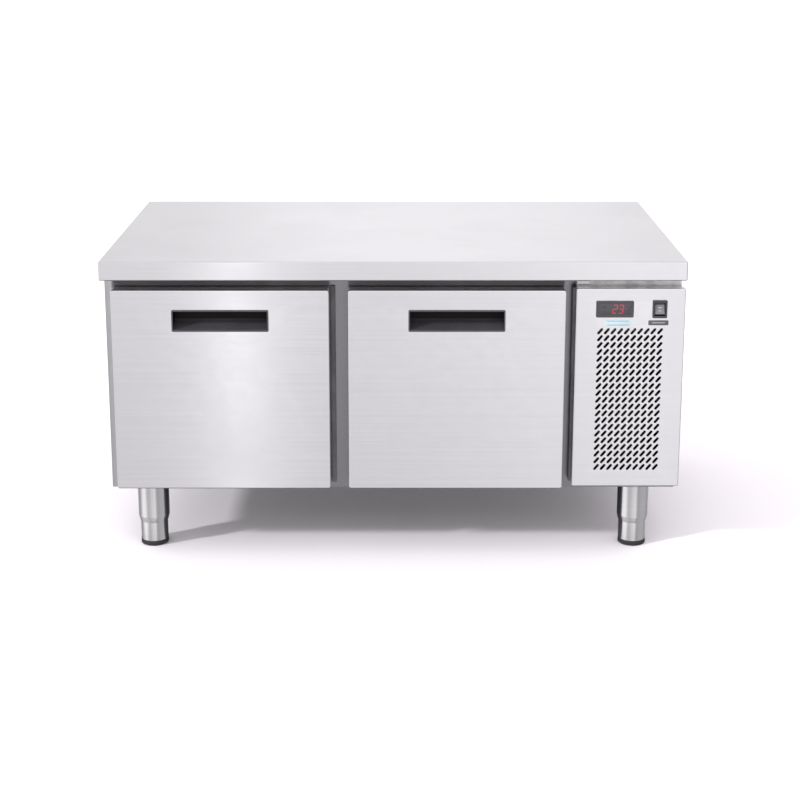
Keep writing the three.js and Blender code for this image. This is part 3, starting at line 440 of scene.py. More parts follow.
def painted(name, tint, roughness):
    """Stove-enamelled metal with an orange-peel surface."""
    material, tree, _ = new_material(name, Metallic=0.2, Coat_Weight=0.3, Coat_Roughness=0.2)
    dust = effect(tree, "dust", Amount=0.6)["Dust"]
    base = blend_colours(tree, effect(tree, "edges", Softness=0.1)["Edge"], rgba(tint), rgba(tint, 2.2))
    base = blend_colours(tree, dust, base, rgba(DUST, 0.66))
    rough = math_node(tree, "MULTIPLY_ADD", dust, 0.4, roughness)
    return dress(material, base, rough, noise_node(tree, object_place(tree), 420.0), 0.12, 0.0002)


def copper_tube(name, tint):
    """Drawn copper with darker tarnish in patches."""
    material, tree, _ = new_material(name, Metallic=1.0)
    marks = effect(tree, "handling", Size=6.0)["Marks"]
    base = blend_colours(tree, marks, rgba(tint), rgba(tint, 0.45))
    return dress(material, base, ramp_node(tree, marks, 0, 1, 0.28, 0.5), marks, 0.1, 0.0003)


def rubber(name, tint):
    """Matt rubber with a faint bloom."""
    material, tree, _ = new_material(name, Specular_IOR_Level=0.35)
    moulded = effect(tree, "pebble", Scale=900.0)
    base = blend_colours(tree, moulded["Drift"], rgba(tint, 0.85), rgba(tint, 1.25))
    base = blend_colours(tree, effect(tree, "dust", Amount=0.35)["Dust"], base, rgba(DUST, 0.6))
    rough = ramp_node(tree, moulded["Drift"], 0, 1, 0.6, 0.78)
    return dress(material, base, rough, moulded["Height"], 0.15, 0.0001)


def foam_block(name, tint):
    """Cut rigid foam with open cells."""
    material, tree, _ = new_material(name)
    cells = effect(tree, "pebble", Scale=700.0)
    base = blend_colours(tree, cells["Drift"], rgba(tint, 0.85), rgba(tint, 1.1))
    rough = ramp_node(tree, cells["Drift"], 0, 1, 0.85, 0.97)
    return dress(material, base, rough, cells["Height"], 0.5, 0.0005)


def pressed_board(name):
    """Particle board: pale and brown chips pressed flat."""
    material, tree, _ = new_material(name)
    chips = random_cells(tree, 260.0)
    base = blend_colours(tree, chips["Red"], (0.5, 0.34, 0.19, 1), (0.27, 0.16, 0.08, 1))
    return dress(material, base, ramp_node(tree, chips["Green"], 0, 1, 0.7, 0.9), chips["Blue"], 0.2, 0.0003)


def lit_figures(name, tint):
    """Glowing strokes of a display, a little uneven in brightness."""
    material, tree, shader = new_material(
        name, Roughness=0.4, Emission_Strength=0.62, Base_Color=rgba(tint, 0.25)
    )
    uneven = ramp_node(tree, noise_node(tree, object_place(tree), 500.0), 0.3, 0.7)
    glow = blend_colours(tree, uneven, rgba(tint, 0.85), rgba(tint, 1.15))
    feed(tree, shader.inputs["Emission Color"], glow)
    return material


def printed_plate(name, tint):
    """A printed film label, a little uneven in tone."""
    material, tree, _ = new_material(name, Coat_Weight=0.4, Coat_Roughness=0.15)
    moulded = effect(tree, "pebble", Scale=2200.0)
    base = blend_colours(tree, moulded["Drift"], rgba(tint, 0.93), rgba(tint, 1.06))
    rough = ramp_node(tree, moulded["Drift"], 0, 1, 0.32, 0.42)
    return dress(material, base, rough, moulded["Height"], 0.05, 0.00003)


SMOOTH = 2200.0  # scale of the texture of smooth mouldings
FINISHES = {
    "worktop_steel": lambda f: steel("Worktop steel", f.steel, f.steel_roughness, "x", 0.85, f.grain),
    "front_steel": lambda f: steel("Drawer steel", f.steel, f.steel_roughness, "x", 0.9, f.grain),
    "panel_steel": lambda f: steel("Machine panel steel", f.steel, f.steel_roughness, "x", 0.9, f.grain),
    "body_steel": lambda f: steel(
        "Body steel", f.steel, f.steel_roughness + 0.06, "z", 0.7, f.grain * 0.6, 0.05, 0.02
    ),
    # Darkened steel for the front frame: painted shade in its recesses.
    "frame_steel": lambda f: steel("Frame steel painted shade", f.frame, f.steel_roughness + 0.1, "z", 0.5, f.grain * 0.4),
    # The outer steel darkened to about two thirds for trims set back behind the fronts: painted shade.
    "shaded_trim_steel": lambda f: steel(
        "Trim steel painted shade", shade(f.steel, 0.64), f.steel_roughness + 0.06, "z", 0.7, f.grain * 0.6
    ),
    "liner_steel": lambda f: steel("Liner steel", f.liner, 0.3, "x", 0.6, 0.4),
    "box_steel": lambda f: steel("Drawer box steel", f.liner, 0.28, "y", 0.7, 0.5),
    "rail_steel": lambda f: steel("Rail steel", f.zinc, 0.3, "y", 0.6, 0.5, 0.1),
    "leg_steel": lambda f: polished_steel("Leg steel", f.leg, 0.16),
    "screw_steel": lambda f: polished_steel("Screw steel", f.leg, 0.24),
    "galvanised_steel": lambda f: galvanised("Galvanised sheet", f.zinc),
    "handle_plastic": lambda f: plastic("Handle plastic", f.plastic, 0.4, dust=0.02),
    # Handle plastic darkened to an eighth for the deep walls of the pockets: painted shade.
    "pocket_painted_shade": lambda f: plastic(
        "Pocket plastic painted shade", shade(f.plastic, 0.12), 0.6, dust=0.0, specular=0.2
    ),
    "controller_plastic": lambda f: plastic(
        "Controller plastic", f.bezel, 0.36, 0.12, SMOOTH, dust=0.1, specular=0.35
    ),
    "switch_plastic": lambda f: plastic("Switch plastic", shade(f.plastic, 0.65), 0.3, 0.1, SMOOTH),
    "rocker_plastic": lambda f: plastic("Rocker plastic", f.rocker, 0.34, 0.1, SMOOTH),
    "rocker_mark": lambda f: plastic("Rocker mark", f.ink, 0.4, 0.05, SMOOTH),
    "fan_plastic": lambda f: plastic("Fan plastic", shade(f.plastic, 0.65), 0.5),
    "pad_plastic": lambda f: plastic("Foot pad plastic", shade(f.plastic, 0.45), 0.55, 0.5, 900.0),
    "display_window": lambda f: plastic("Display window", (0.046, 0.042, 0.048), 0.22, 0.02, 2500.0, 0.3),
    "black_paint": lambda f: painted("Black paint", (0.022, 0.022, 0.024), 0.35),
    "pale_paint": lambda f: painted("Pale paint", (0.5, 0.488, 0.508), 0.5),
    "grey_paint": lambda f: painted("Grey paint", (0.32, 0.33, 0.34), 0.42),
    "fin_aluminium": lambda f: steel("Fin aluminium", (0.7, 0.71, 0.72), 0.35, "z", 0.3, 0.6, 0.3),
    "copper": lambda f: copper_tube("Copper tube", f.copper),
    "gasket_rubber": lambda f: rubber("Gasket rubber", (0.02, 0.0195, 0.021)),
    # Mid-dark rubber for the strips in the gaps and slits round the fronts: painted shade.
    "shade_strip_rubber": lambda f: rubber("Shade strip rubber", (0.13, 0.126, 0.134)),
    "insulation": lambda f: foam_block("Insulation foam", f.foam),
    "worktop_board": lambda f: pressed_board("Particle board"),
    "figures": lambda f: lit_figures("Lit figures", f.display),
    "pale_label": lambda f: printed_plate("Pale label film", (0.43, 0.54, 0.58)),
    "label_line": lambda f: printed_plate("Label line ink", (0.12, 0.27, 0.31)),
    "dark_label": lambda f: printed_plate("Dark label film", (0.075, 0.07, 0.078)),
    "label_stroke": lambda f: printed_plate("Label stroke ink", f.ink),
}
made_finishes = {}


def finish(kind):
    """The material of a finish, made once."""
    if kind not in made_finishes:
        made_finishes[kind] = FINISHES[kind](bpy.context.scene.counter_finishes)
    return made_finishes[kind]


# ---- Shapes -------------------------------------------------------------------------------------


def mesh_from(bm, name, sharp=None):
    """A mesh that faces outwards from edited geometry; sharp is the angle over which edges stay crisp."""
    bmesh.ops.recalc_face_normals(bm, faces=bm.faces)
    mesh = bpy.data.meshes.new(name)
    bm.to_mesh(mesh)
    bm.free()
    if sharp is not None:
        smooth(mesh, sharp)
    return mesh


def smooth(mesh, sharp):
    """Shades a mesh smoothly and marks edges over an angle in degrees as sharp."""
    mesh.shade_smooth()
    mesh.set_sharp_from_angle(angle=math.radians(sharp))


def add_piece(name, mesh, body, material, stands_for=()):
    """Adds a visible piece that moves with a body and takes the place of nodes."""
    piece = bpy.data.objects.new(name, mesh)
    bpy.context.scene.collection.objects.link(piece)
    if not piece.data.materials:
        piece.data.materials.append(finish(material))
    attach(piece, body)
    if stands_for:
        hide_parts(*stands_for)
    return piece


def soften(piece, radius, segments=3, sharp=40.0):
    """Rounds a piece's edges and keeps its flats flat."""
    piece.data.shade_smooth()
    edges = piece.modifiers.new("Rounded edges", "BEVEL")
    edges.width = radius
    edges.segments = segments
    edges.limit_method = "ANGLE"
    edges.angle_limit = math.radians(sharp)
    edges.miter_outer = "MITER_ARC"
    flatten_shading(piece, 90)
    return piece


def flatten_shading(piece, weight):
    """Keeps large flats evenly shaded beside small folds."""
    flats = piece.modifiers.new("Flat faces", "WEIGHTED_NORMAL")
    flats.keep_sharp = True
    flats.weight = weight


def node_mesh(node, name):
    """A copy of a node's mesh with pairs of flat triangles joined."""
    bm = bmesh.new()
    bm.from_mesh(NODES[node].data)
    bmesh.ops.remove_doubles(bm, verts=bm.verts, dist=0.00002)
    bmesh.ops.join_triangles(
        bm, faces=bm.faces, angle_face_threshold=math.radians(0.5), angle_shape_threshold=math.radians(120)
    )
    mesh = bpy.data.meshes.new(name)
    bm.to_mesh(mesh)
    bm.free()
    return mesh


def refined(node, material, radius, segments=2, sharp=40.0):
    """The node's own shape with edges rounded by a radius in millimetres, in its place."""
    body = NODES[node]["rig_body"]
    name = node + "_piece"
    piece = add_piece(name, node_mesh(node, name), body, material, (node,))
    return soften(piece, radius * MM, segments, sharp)


def box_corners(node):
    """Lowest and highest corner of a node."""
    low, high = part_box(node)
    return Vector(low), Vector(high)


def rounded_outline(low, high, radius, steps=6):
    """Points of a rectangle with round corners, anticlockwise, from (x, z) corners."""
    points = []
    centres = (
        (high[0] - radius, low[1] + radius, -90),
        (high[0] - radius, high[1] - radius, 0),
        (low[0] + radius, high[1] - radius, 90),
        (low[0] + radius, low[1] + radius, 180),
    )
    for x, z, start in centres:
        for step in range(steps + 1):
            turn = math.radians(start + 90 * step / steps)
            points.append((x + radius * math.cos(turn), z + radius * math.sin(turn)))
    return points


def add_loop(bm, outline, y):
    """A ring of vertices at depth y."""
    return [bm.verts.new((x, y, z)) for x, z in outline]


def bridge(bm, first, second):
    """Quads between two rings of equal length."""
    count = len(first)
    for i in range(count):
        j = (i + 1) % count
        bm.faces.new((first[i], first[j], second[j], second[i]))


def fill_with_holes(bm, outer, holes):
    """Fills a ring of vertices that is flat across Y, leaving the holes open."""
    edges = []
    for ring in (outer, *holes):
        for first, second in zip(ring, ring[1:] + ring[:1]):
            edges.append(bm.edges.get((first, second)) or bm.edges.new((first, second)))
    bmesh.ops.triangle_fill(bm, use_beauty=True, use_dissolve=False, edges=edges, normal=(0, -1, 0))


def inset_outline(low, high, inset, radius, steps=6):
    """A rounded outline inset from the front of a box given by its lowest and highest corner."""
    return rounded_outline(
        (low.x + inset, low.z + inset), (high.x - inset, high.z - inset), radius, steps
    )


def folded_pan(name, low, high, fold, corner, holes=()):
    """A sheet-metal pan facing the front, with round folds and holes in its face."""
    bm = bmesh.new()
    steps = 5
    rings = []
    for step in range(steps + 1):
        turn = math.radians(90 * step / steps)
        inset = fold * (1 - math.sin(turn))
        outline = inset_outline(low, high, inset, max(corner - inset, LEAST_CORNER))
        rings.append(add_loop(bm, outline, low.y + fold * (1 - math.cos(turn))))
    rings.append(add_loop(bm, inset_outline(low, high, 0, corner), high.y))
    face = inset_outline(low, high, fold + FACE_MARGIN, FACE_MARGIN)
    rings.insert(0, add_loop(bm, face, low.y))
    for first, second in zip(rings, rings[1:]):
        bridge(bm, first, second)
    fill_with_holes(bm, rings[0], [add_loop(bm, outline, low.y) for outline in holes])
    mesh = mesh_from(bm, name)
    mesh.shade_smooth()
    widest = max(mesh.polygons, key=lambda polygon: polygon.area)
    if widest.normal.y > 0:  # an open shell has no outside, so the front is turned to -Y here
        mesh.flip_normals()
    return mesh


def settle(piece, sharp):
    """Bakes a piece's modifiers into its mesh and marks its sharp edges."""
    shaped = piece.evaluated_get(bpy.context.evaluated_depsgraph_get())
    mesh = bpy.data.meshes.new_from_object(shaped)
    piece.modifiers.clear()
    piece.data = mesh
    smooth(mesh, sharp)


def thicken(piece, sheet):
    """Gives an open shell its sheet thickness, inwards."""
    solid = piece.modifiers.new("Sheet", "SOLIDIFY")
    solid.thickness = sheet
    solid.offset = -1
    solid.use_even_offset = True
    settle(piece, 50)
    flatten_shading(piece, 95)


def plate(name, outline, front, back, edge=0.0):
    """A flat plate across Y from an outline, its front edge broken by a small chamfer."""
    bm = bmesh.new()
    middle_x = sum(x for x, _ in outline) / len(outline)
    middle_z = sum(z for _, z in outline) / len(outline)
    half = max(abs(x - middle_x) for x, _ in outline)
    tall = max(abs(z - middle_z) for _, z in outline)

    def shrunk(amount):
        across, up = 1 - amount / half, 1 - amount / tall
        return [(middle_x + (x - middle_x) * across, middle_z + (z - middle_z) * up) for x, z in outline]

    rings = [add_loop(bm, shrunk(edge), front)]
    if edge:
        rings.append(add_loop(bm, shrunk(edge * 0.3), front + edge * 0.3))
        rings.append(add_loop(bm, outline, front + edge))
    rings.append(add_loop(bm, outline, back))
    for first, second in zip(rings, rings[1:]):
        bridge(bm, first, second)
    bm.faces.new(rings[0])
    bm.faces.new(list(reversed(rings[-1])))
    return mesh_from(bm, name, 35)


def lathe(name, outline, centre, segments=96):
    """A round piece about a vertical axis from (radius, height) points."""
    bm = bmesh.new()
    rings = []
    for radius, height in outline:
        turns = [2 * math.pi * i / segments for i in range(segments if radius else 1)]
        rings.append(
            [
                bm.verts.new((centre[0] + radius * math.cos(t), centre[1] + radius * math.sin(t), height))
                for t in turns
            ]
        )
    for first, second in zip(rings, rings[1:]):
        for i in range(segments):
            j = (i + 1) % segments
            if len(first) == 1:
                bm.faces.new((first[0], second[j], second[i]))
            elif len(second) == 1:
                bm.faces.new((first[i], first[j], second[0]))
            else:
                bm.faces.new((first[i], first[j], second[j], second[i]))
    return mesh_from(bm, name, 38)


def rounded_profile(points, radius, steps=4):
    """The same outline with its inner corners replaced by short arcs."""
    result = [points[0]]
    for before, here, after in zip(points, points[1:], points[2:]):
        a, b, c = Vector(before), Vector(here), Vector(after)
        reach = min(radius, (a - b).length / 2.2, (c - b).length / 2.2)
        start = b + (a - b).normalized() * reach
        end = b + (c - b).normalized() * reach
        for step in range(steps + 1):
            t = step / steps
            result.append(tuple((1 - t) ** 2 * start + 2 * t * (1 - t) * b + t * t * end))
    result.append(points[-1])
    return result


def add_bar(name, low, high, radius, material):
    """A straight bar that fills a box, round at its long front and back edges."""
    long_way = max(range(3), key=lambda axis: high[axis] - low[axis])
    first, second = [axis for axis in range(3) if axis != long_way]
    section = rounded_outline((low[first], low[second]), (high[first], high[second]), radius, 4)
    bm = bmesh.new()
    rings = []
    for end in (low[long_way], high[long_way]):
        ring = []
        for one, other in section:
            place = Vector()
            place[long_way], place[first], place[second] = end, one, other
            ring.append(bm.verts.new(place))
        rings.append(ring)
    bridge(bm, rings[0], rings[1])
    bm.faces.new(list(reversed(rings[0])))
    bm.faces.new(rings[1])
    return add_piece(name, mesh_from(bm, name, 50), CABINET, material)


def screw_head(name, centre, facing, radius):
    """A domed screw head with a cross recess on the cabinet; facing is the outward unit axis."""
    bm = bmesh.new()
    count = 24
    dome = ((1.0, 0.0), (1.0, 0.2), (0.86, 0.42), (0.5, 0.58))
    shape = [([share] * count, rise) for share, rise in dome]
    shape.append(([0.42 if i % 6 < 2 else 0.16 for i in range(count)], 0.3))
    rings = []
    for shares, rise in shape:
        ring = []
        for i, share in enumerate(shares):
            turn = 2 * math.pi * i / count
            place = (share * math.cos(turn), share * math.sin(turn), rise)
            ring.append(bm.verts.new(Vector(place) * radius))
        rings.append(ring)
    for first, second in zip(rings, rings[1:]):
        bridge(bm, first, second)
    bm.faces.new(rings[-1])
    bm.faces.new(list(reversed(rings[0])))
    turn = Vector((0, 0, 1)).rotation_difference(Vector(facing)).to_matrix().to_4x4()
    bmesh.ops.transform(bm, matrix=Matrix.Translation(centre) @ turn, verts=bm.verts)
    return add_piece(name, mesh_from(bm, name, 40), CABINET, "screw_steel")


def block_matrix(low, high):
    """Places a unit cube so that it fills a box."""
    return Matrix.Translation((low + high) / 2) @ Matrix.Diagonal((*(high - low), 1))


# ---- Worktop ------------------------------------------------------------------------------------


class COUNTER_OT_worktop(bpy.types.Operator):
    """Build the folded steel worktop on its board"""

    bl_idname = "counter.worktop"
    bl_label = "Worktop"

    def execute(self, context):
        sizes = context.scene.counter_sizes
        bm = bmesh.new()
        bmesh.ops.create_cube(bm, size=1.0, matrix=block_matrix(*box_corners("worktop_skin")))
        under = [face for face in bm.faces if face.normal.z < -0.5]
        bmesh.ops.inset_region(bm, faces=under, thickness=sizes.worktop_lip)
        bmesh.ops.delete(bm, geom=under, context="FACES")
        corner_edges = [edge for edge in bm.edges if edge.is_manifold and edge.calc_face_angle(0) > 1]
        bmesh.ops.bevel(
            bm, geom=corner_edges, offset=sizes.worktop_fold, segments=5, profile=0.5, affect="EDGES"
        )
        mesh = bpy.data.meshes.new("worktop")
        bm.to_mesh(mesh)
        bm.free()
        mesh.shade_smooth()
        piece = add_piece("worktop", mesh, CABINET, "worktop_steel", ("worktop_skin",))
        thicken(piece, sizes.worktop_sheet)
        refined("worktop_core", "worktop_board", 1.0)
        return {"FINISHED"}


# ---- Body ---------------------------------------------------------------------------------------


class COUNTER_OT_body(bpy.types.Operator):
    """Build the side, back and base panels and the front frame"""

    bl_idname = "counter.body"
    bl_label = "Body panels and frame"

    def execute(self, context):
        for side in SIDES:
            refined(f"{side}_side_panel", "body_steel", 0.45)
        # The front frame takes the darkened steel that paints its shade.
        refined("front_frame", "frame_steel", 0.4)
        refined("back_panel", "galvanised_steel", 0.3, 1)
        refined("base_panel", "galvanised_steel", 0.3, 1)
        self.add_screws()
        self.add_shade_strips()
        self.add_trims()
        return {"FINISHED"}

    def add_shade_strips(self):
        """Dark rubber strips on the frame, over each drawer front and beside the middle post: painted shade
        in the gap under the worktop, and the painted shadow that the left drawer casts on the post.
        """
        plate_front = box_corners("front_frame")[0].y + FRAME_TAB
        top = box_corners("worktop_skin")[0].z
        back = plate_front - FILM
        edge = 0.0015
        for side in SIDES:
            low, high = box_corners(f"{side}_drawer_skin")
            strip_low = (low.x + 0.001, plate_front - 0.008, high.z + 0.0008)
            strip_high = (high.x - 0.001, back, top - 0.0006)
            # A dark strip over the drawer: painted shade under the worktop.
            add_bar(f"{side}_drip_shade_strip", strip_low, strip_high, edge, "shade_strip_rubber")
        low, high = box_corners("left_drawer_skin")
        post_low = (high.x + 0.0006, plate_front - 0.006, low.z)
        # A dark strip down the left of the middle post: painted shadow of the left drawer.
        add_bar(
            "post_shade_strip", post_low, (high.x + 0.011, back, high.z), edge, "shade_strip_rubber"
        )

    def add_trims(self):
        """The left panel's front flange, and a pale strip with a plate over the machine panel; the flange
        and the plate are steel darkened as painted shade.
        """
        plate_front = box_corners("front_frame")[0].y + FRAME_TAB
        back = plate_front - FILM
        thin = 0.0004
        low, high = box_corners("left_side_panel")
        flange_low = (low.x, back - TRIM_SHEET, low.z + 0.0005)
        flange_high = (low.x + 0.0155, back, high.z - 0.0005)
        # Darkened steel on the flange: painted shade.
        add_bar("left_trim", flange_low, flange_high, thin, "shaded_trim_steel")
        low, high = box_corners("front_panel")
        strip_front = plate_front - 0.016
        strip_low = (low.x + 0.004, strip_front, high.z - 0.003)
        strip_high = (high.x - 0.004, back, box_corners("worktop_skin")[0].z - 0.0006)
        add_bar("panel_trim", strip_low, strip_high, 2 * thin, "pale_paint")
        corner = Vector((low.x + 0.006, strip_front - 0.001, high.z + 0.002))
        lock_size = Vector((0.024, TRIM_SHEET, 0.0075))
        add_bar("lock_plate", corner, corner + lock_size, thin, "shaded_trim_steel")

    def add_screws(self):
        """Screws along the edges of the back panel and near the corners of the side panels."""
        low, high = box_corners("back_panel")
        inset, rise = 0.022, 0.012
        columns = 5
        for i in range(columns):
            x = low.x + inset + (high.x - low.x - 2 * inset) * i / (columns - 1)
            for row, z in (("low", low.z + rise), ("high", high.z - rise)):
                screw_head(f"back_screw_{row}_{i}", (x, high.y, z), (0, 1, 0), 0.0042)
        inset, rise = 0.03, 0.02
        for side, sign in (("left", -1), ("right", 1)):
            low, high = box_corners(f"{side}_side_panel")
            x = low.x if sign < 0 else high.x
            for i, y in enumerate((low.y + inset, high.y - inset)):
                for j, z in enumerate((low.z + rise, high.z - rise)):
                    name = f"{side}_side_screw_{i}_{j}"
                    screw_head(name, (x, y, z), (sign, 0, 0), 0.0038)


class COUNTER_OT_cell(bpy.types.Operator):
    """Build the cold cell: liner, foam, bulkhead and centre rack"""

    bl_idname = "counter.cell"
    bl_label = "Cold cell"

    def execute(self, context):
        refined("cell_liner", "liner_steel", 0.4)
        refined("insulation_foam", "insulation", 1.0)
        refined("motor_bulkhead", "galvanised_steel", 0.3, 1)
        refined("centre_rack", "liner_steel", 0.5)
        return {"FINISHED"}


# ---- Slides -------------------------------------------------------------------------------------


class COUNTER_OT_slides(bpy.types.Operator):
    """Build the outer and middle rails of the drawer slides"""

    bl_idname = "counter.slides"
    bl_label = "Drawer slides"

    def execute(self, context):
        for side in SIDES:
            for hand in SIDES:
                refined(f"{side}_drawer_outer_rail_{hand}", "rail_steel", 0.5)
                refined(f"{side}_drawer_middle_rail_{hand}", "rail_steel", 0.5)
        return {"FINISHED"}


# ---- Drawers ------------------------------------------------------------------------------------


class COUNTER_OT_drawer_fronts(bpy.types.Operator):
    """Build each drawer front: folded skin, foam, inner panel and gasket"""

    bl_idname = "counter.drawer_fronts"
    bl_label = "Drawer fronts"

    def execute(self, context):
        sizes = context.scene.counter_sizes
        for side in SIDES:
            body = f"{side}_drawer"
            skin = f"{side}_drawer_skin"
            low, high = box_corners(skin)
            grip_low, grip_high = box_corners(f"{side}_drawer_handle")
            grip_high.z = grip_low.z + BEZEL_HEIGHT
            hole = inset_outline(grip_low, grip_high, BEZEL_COVER, 0.001, 2)
            name = f"{side}_front"
            mesh = folded_pan(name, low, high, sizes.front_fold, sizes.front_corner, [hole])
            piece = add_piece(name, mesh, body, "front_steel", (skin,))
            thicken(piece, sizes.front_sheet)
            refined(f"{side}_drawer_foam", "insulation", 1.0)
            refined(f"{side}_drawer_inner_panel", "liner_steel", 0.4)
            self.add_gasket(side, body)
        return {"FINISHED"}

    def add_gasket(self, side, body):
        """A bellows seal swept round the front in one closed ring."""
        node = f"{side}_drawer_gasket"
        low, high = box_corners(node)
        width = 0.014
        corner = 0.0165
        section = (
            (0.0, 0.0), (0.0, 0.35), (0.1, 0.5), (0.02, 0.7), (0.1, 0.92), (0.3, 1.0),
            (0.75, 1.0), (0.94, 0.9), (1.0, 0.7), (0.9, 0.5), (1.0, 0.3), (1.0, 0.0),
        )
        bm = bmesh.new()
        rings = []
        for across, back in section:
            inset = across * width
            outline = inset_outline(low, high, inset, corner - inset, 4)
            rings.append(add_loop(bm, outline, low.y + back * (high.y - low.y)))
        for first, second in zip(rings, rings[1:] + rings[:1]):
            bridge(bm, first, second)
        name = f"{side}_gasket"
        mesh = mesh_from(bm, name)
        mesh.shade_smooth()
        add_piece(name, mesh, body, "gasket_rubber", (node,))


class COUNTER_OT_handles(bpy.types.Operator):
    """Build the recessed handles, with their plastic darkened inside the pockets as painted shade"""

    bl_idname = "counter.handles"
    bl_label = "Handles"

    def execute(self, context):
        for side in SIDES:
            piece = refined(f"{side}_drawer_handle", "handle_plastic", 0.6, 3, 25.0)
            # The pocket's deep faces that don't face up take the darkened plastic: painted shade.
            piece.data.materials.append(finish("pocket_painted_shade"))
            inside = box_corners(f"{side}_drawer_handle")[0].y + 0.004
            for polygon in piece.data.polygons:
                shaded = polygon.center.y > inside and polygon.normal.z < 0.3
                polygon.material_index = int(shaded)
        return {"FINISHED"}


class COUNTER_OT_drawer_boxes(bpy.types.Operator):
    """Build the drawer boxes with their inner rails"""

    bl_idname = "counter.drawer_boxes"
    bl_label = "Drawer boxes"

    def execute(self, context):
        for side in SIDES:
            refined(f"{side}_drawer_box", "box_steel", 0.45)
        return {"FINISHED"}


# ---- Machine panel ------------------------------------------------------------------------------


def slot_outline(centre_x, centre_z, sizes, steps=5):
    """Points of one leaning slot with round ends."""
    radius = sizes.slot_width / 2
    reach = sizes.slot_length / 2 - radius
    lean = sizes.slot_lean
    points = []
    for end, start in ((1, -90), (-1, 90)):
        end_x = centre_x + end * reach * math.cos(lean)
        end_z = centre_z + end * reach * math.sin(lean)
        for step in range(steps + 1):
            turn = math.radians(start + 180 * step / steps) + lean
            points.append((end_x + radius * math.cos(turn), end_z + radius * math.sin(turn)))
    return points


class COUNTER_OT_machine_panel(bpy.types.Operator):
    """Build the machine panel with its slanted grille"""

    bl_idname = "counter.machine_panel"
    bl_label = "Machine panel"

    def execute(self, context):
        sizes = context.scene.counter_sizes
        low, high = box_corners("front_panel")
        first_x = (low.x + high.x) / 2 - (sizes.slot_columns - 1) * sizes.slot_pitch_x / 2
        holes = []
        for row in range(sizes.slot_rows):
            z = low.z + sizes.slot_rise + row * sizes.slot_pitch_z
            for column in range(sizes.slot_columns):
                holes.append(slot_outline(first_x + column * sizes.slot_pitch_x, z, sizes))
        for control in ("controller", "switch_housing"):
            holes.append(inset_outline(*box_corners(control), 0.002, 0.001, 2))
        mesh = folded_pan("machine_panel", low, high, sizes.panel_fold, sizes.panel_corner, holes)
        piece = add_piece("machine_panel", mesh, CABINET, "panel_steel", ("front_panel",))
        thicken(piece, sizes.panel_sheet)
        self.add_slit_shade(low, high)
        return {"FINISHED"}

    def add_slit_shade(self, low, high):
        """A mid-dark rubber strip that closes the slit between the panel's left return and the frame, its
        tone painted shade in the slit.
        """
        half, inset = 0.005, 0.004
        slit_shade_low = (low.x - half, high.y + 0.002, low.z + inset)
        slit_shade_high = (low.x + half, high.y + 0.0235, high.z - inset)
        add_bar("panel_slit_shade", slit_shade_low, slit_shade_high, 0.002, "shade_strip_rubber")


SEGMENTS = {  # ends of each stroke of a figure, in halves of its width and height
    "a": ((-1, 1), (1, 1)),
    "b": ((1, 1), (1, 0)),
    "c": ((1, 0), (1, -1)),
    "d": ((-1, -1), (1, -1)),
    "e": ((-1, 0), (-1, -1)),
    "f": ((-1, 1), (-1, 0)),
    "g": ((-1, 0), (1, 0)),
}
FIGURES = {"2": "abged", "3": "abgcd"}


def figure_mesh(name, figures, centre, height, front, depth):
    """Seven-stroke figures side by side, leaning a little, standing out by depth."""
    bm = bmesh.new()
    half_w = height * 0.24
    half_h = height * 0.5
    stroke = height * 0.085
    step = height * 0.73
    lean = math.tan(math.radians(7))
    for index, figure in enumerate(figures):
        middle_x = centre[0] + (index - (len(figures) - 1) / 2) * step
        for letter in FIGURES[figure]:
            start, end = (Vector((x * half_w, z * half_h)) for x, z in SEGMENTS[letter])
            along = (end - start).normalized()
            side = Vector((-along.y, along.x)) * stroke
            start, end = start + along * stroke * 0.7, end - along * stroke * 0.7
            ring = [
                start - along * stroke * 0.5, start + side * 0.6, end + side * 0.6,
                end + along * stroke * 0.5, end - side * 0.6, start - side * 0.6,
            ]
            flat = [(middle_x + p.x + p.y * lean, centre[1] + p.y) for p in ring]
            face = add_loop(bm, flat, front)
            back = add_loop(bm, flat, front + depth)
            bridge(bm, face, back)
            bm.faces.new(face)
            bm.faces.new(list(reversed(back)))
    return mesh_from(bm, name)


def upright_plate(name, centre, size, radius, front, back, material, edge=0.0, steps=4):
    """A rounded plate on the cabinet that faces the front, from its middle and size across and up."""
    low, high = ([at + share * span for at, span in zip(centre, size)] for share in (-0.5, 0.5))
    outline = rounded_outline(low, high, radius, steps)
    return add_piece(name, plate(name, outline, front, back, edge), CABINET, material)


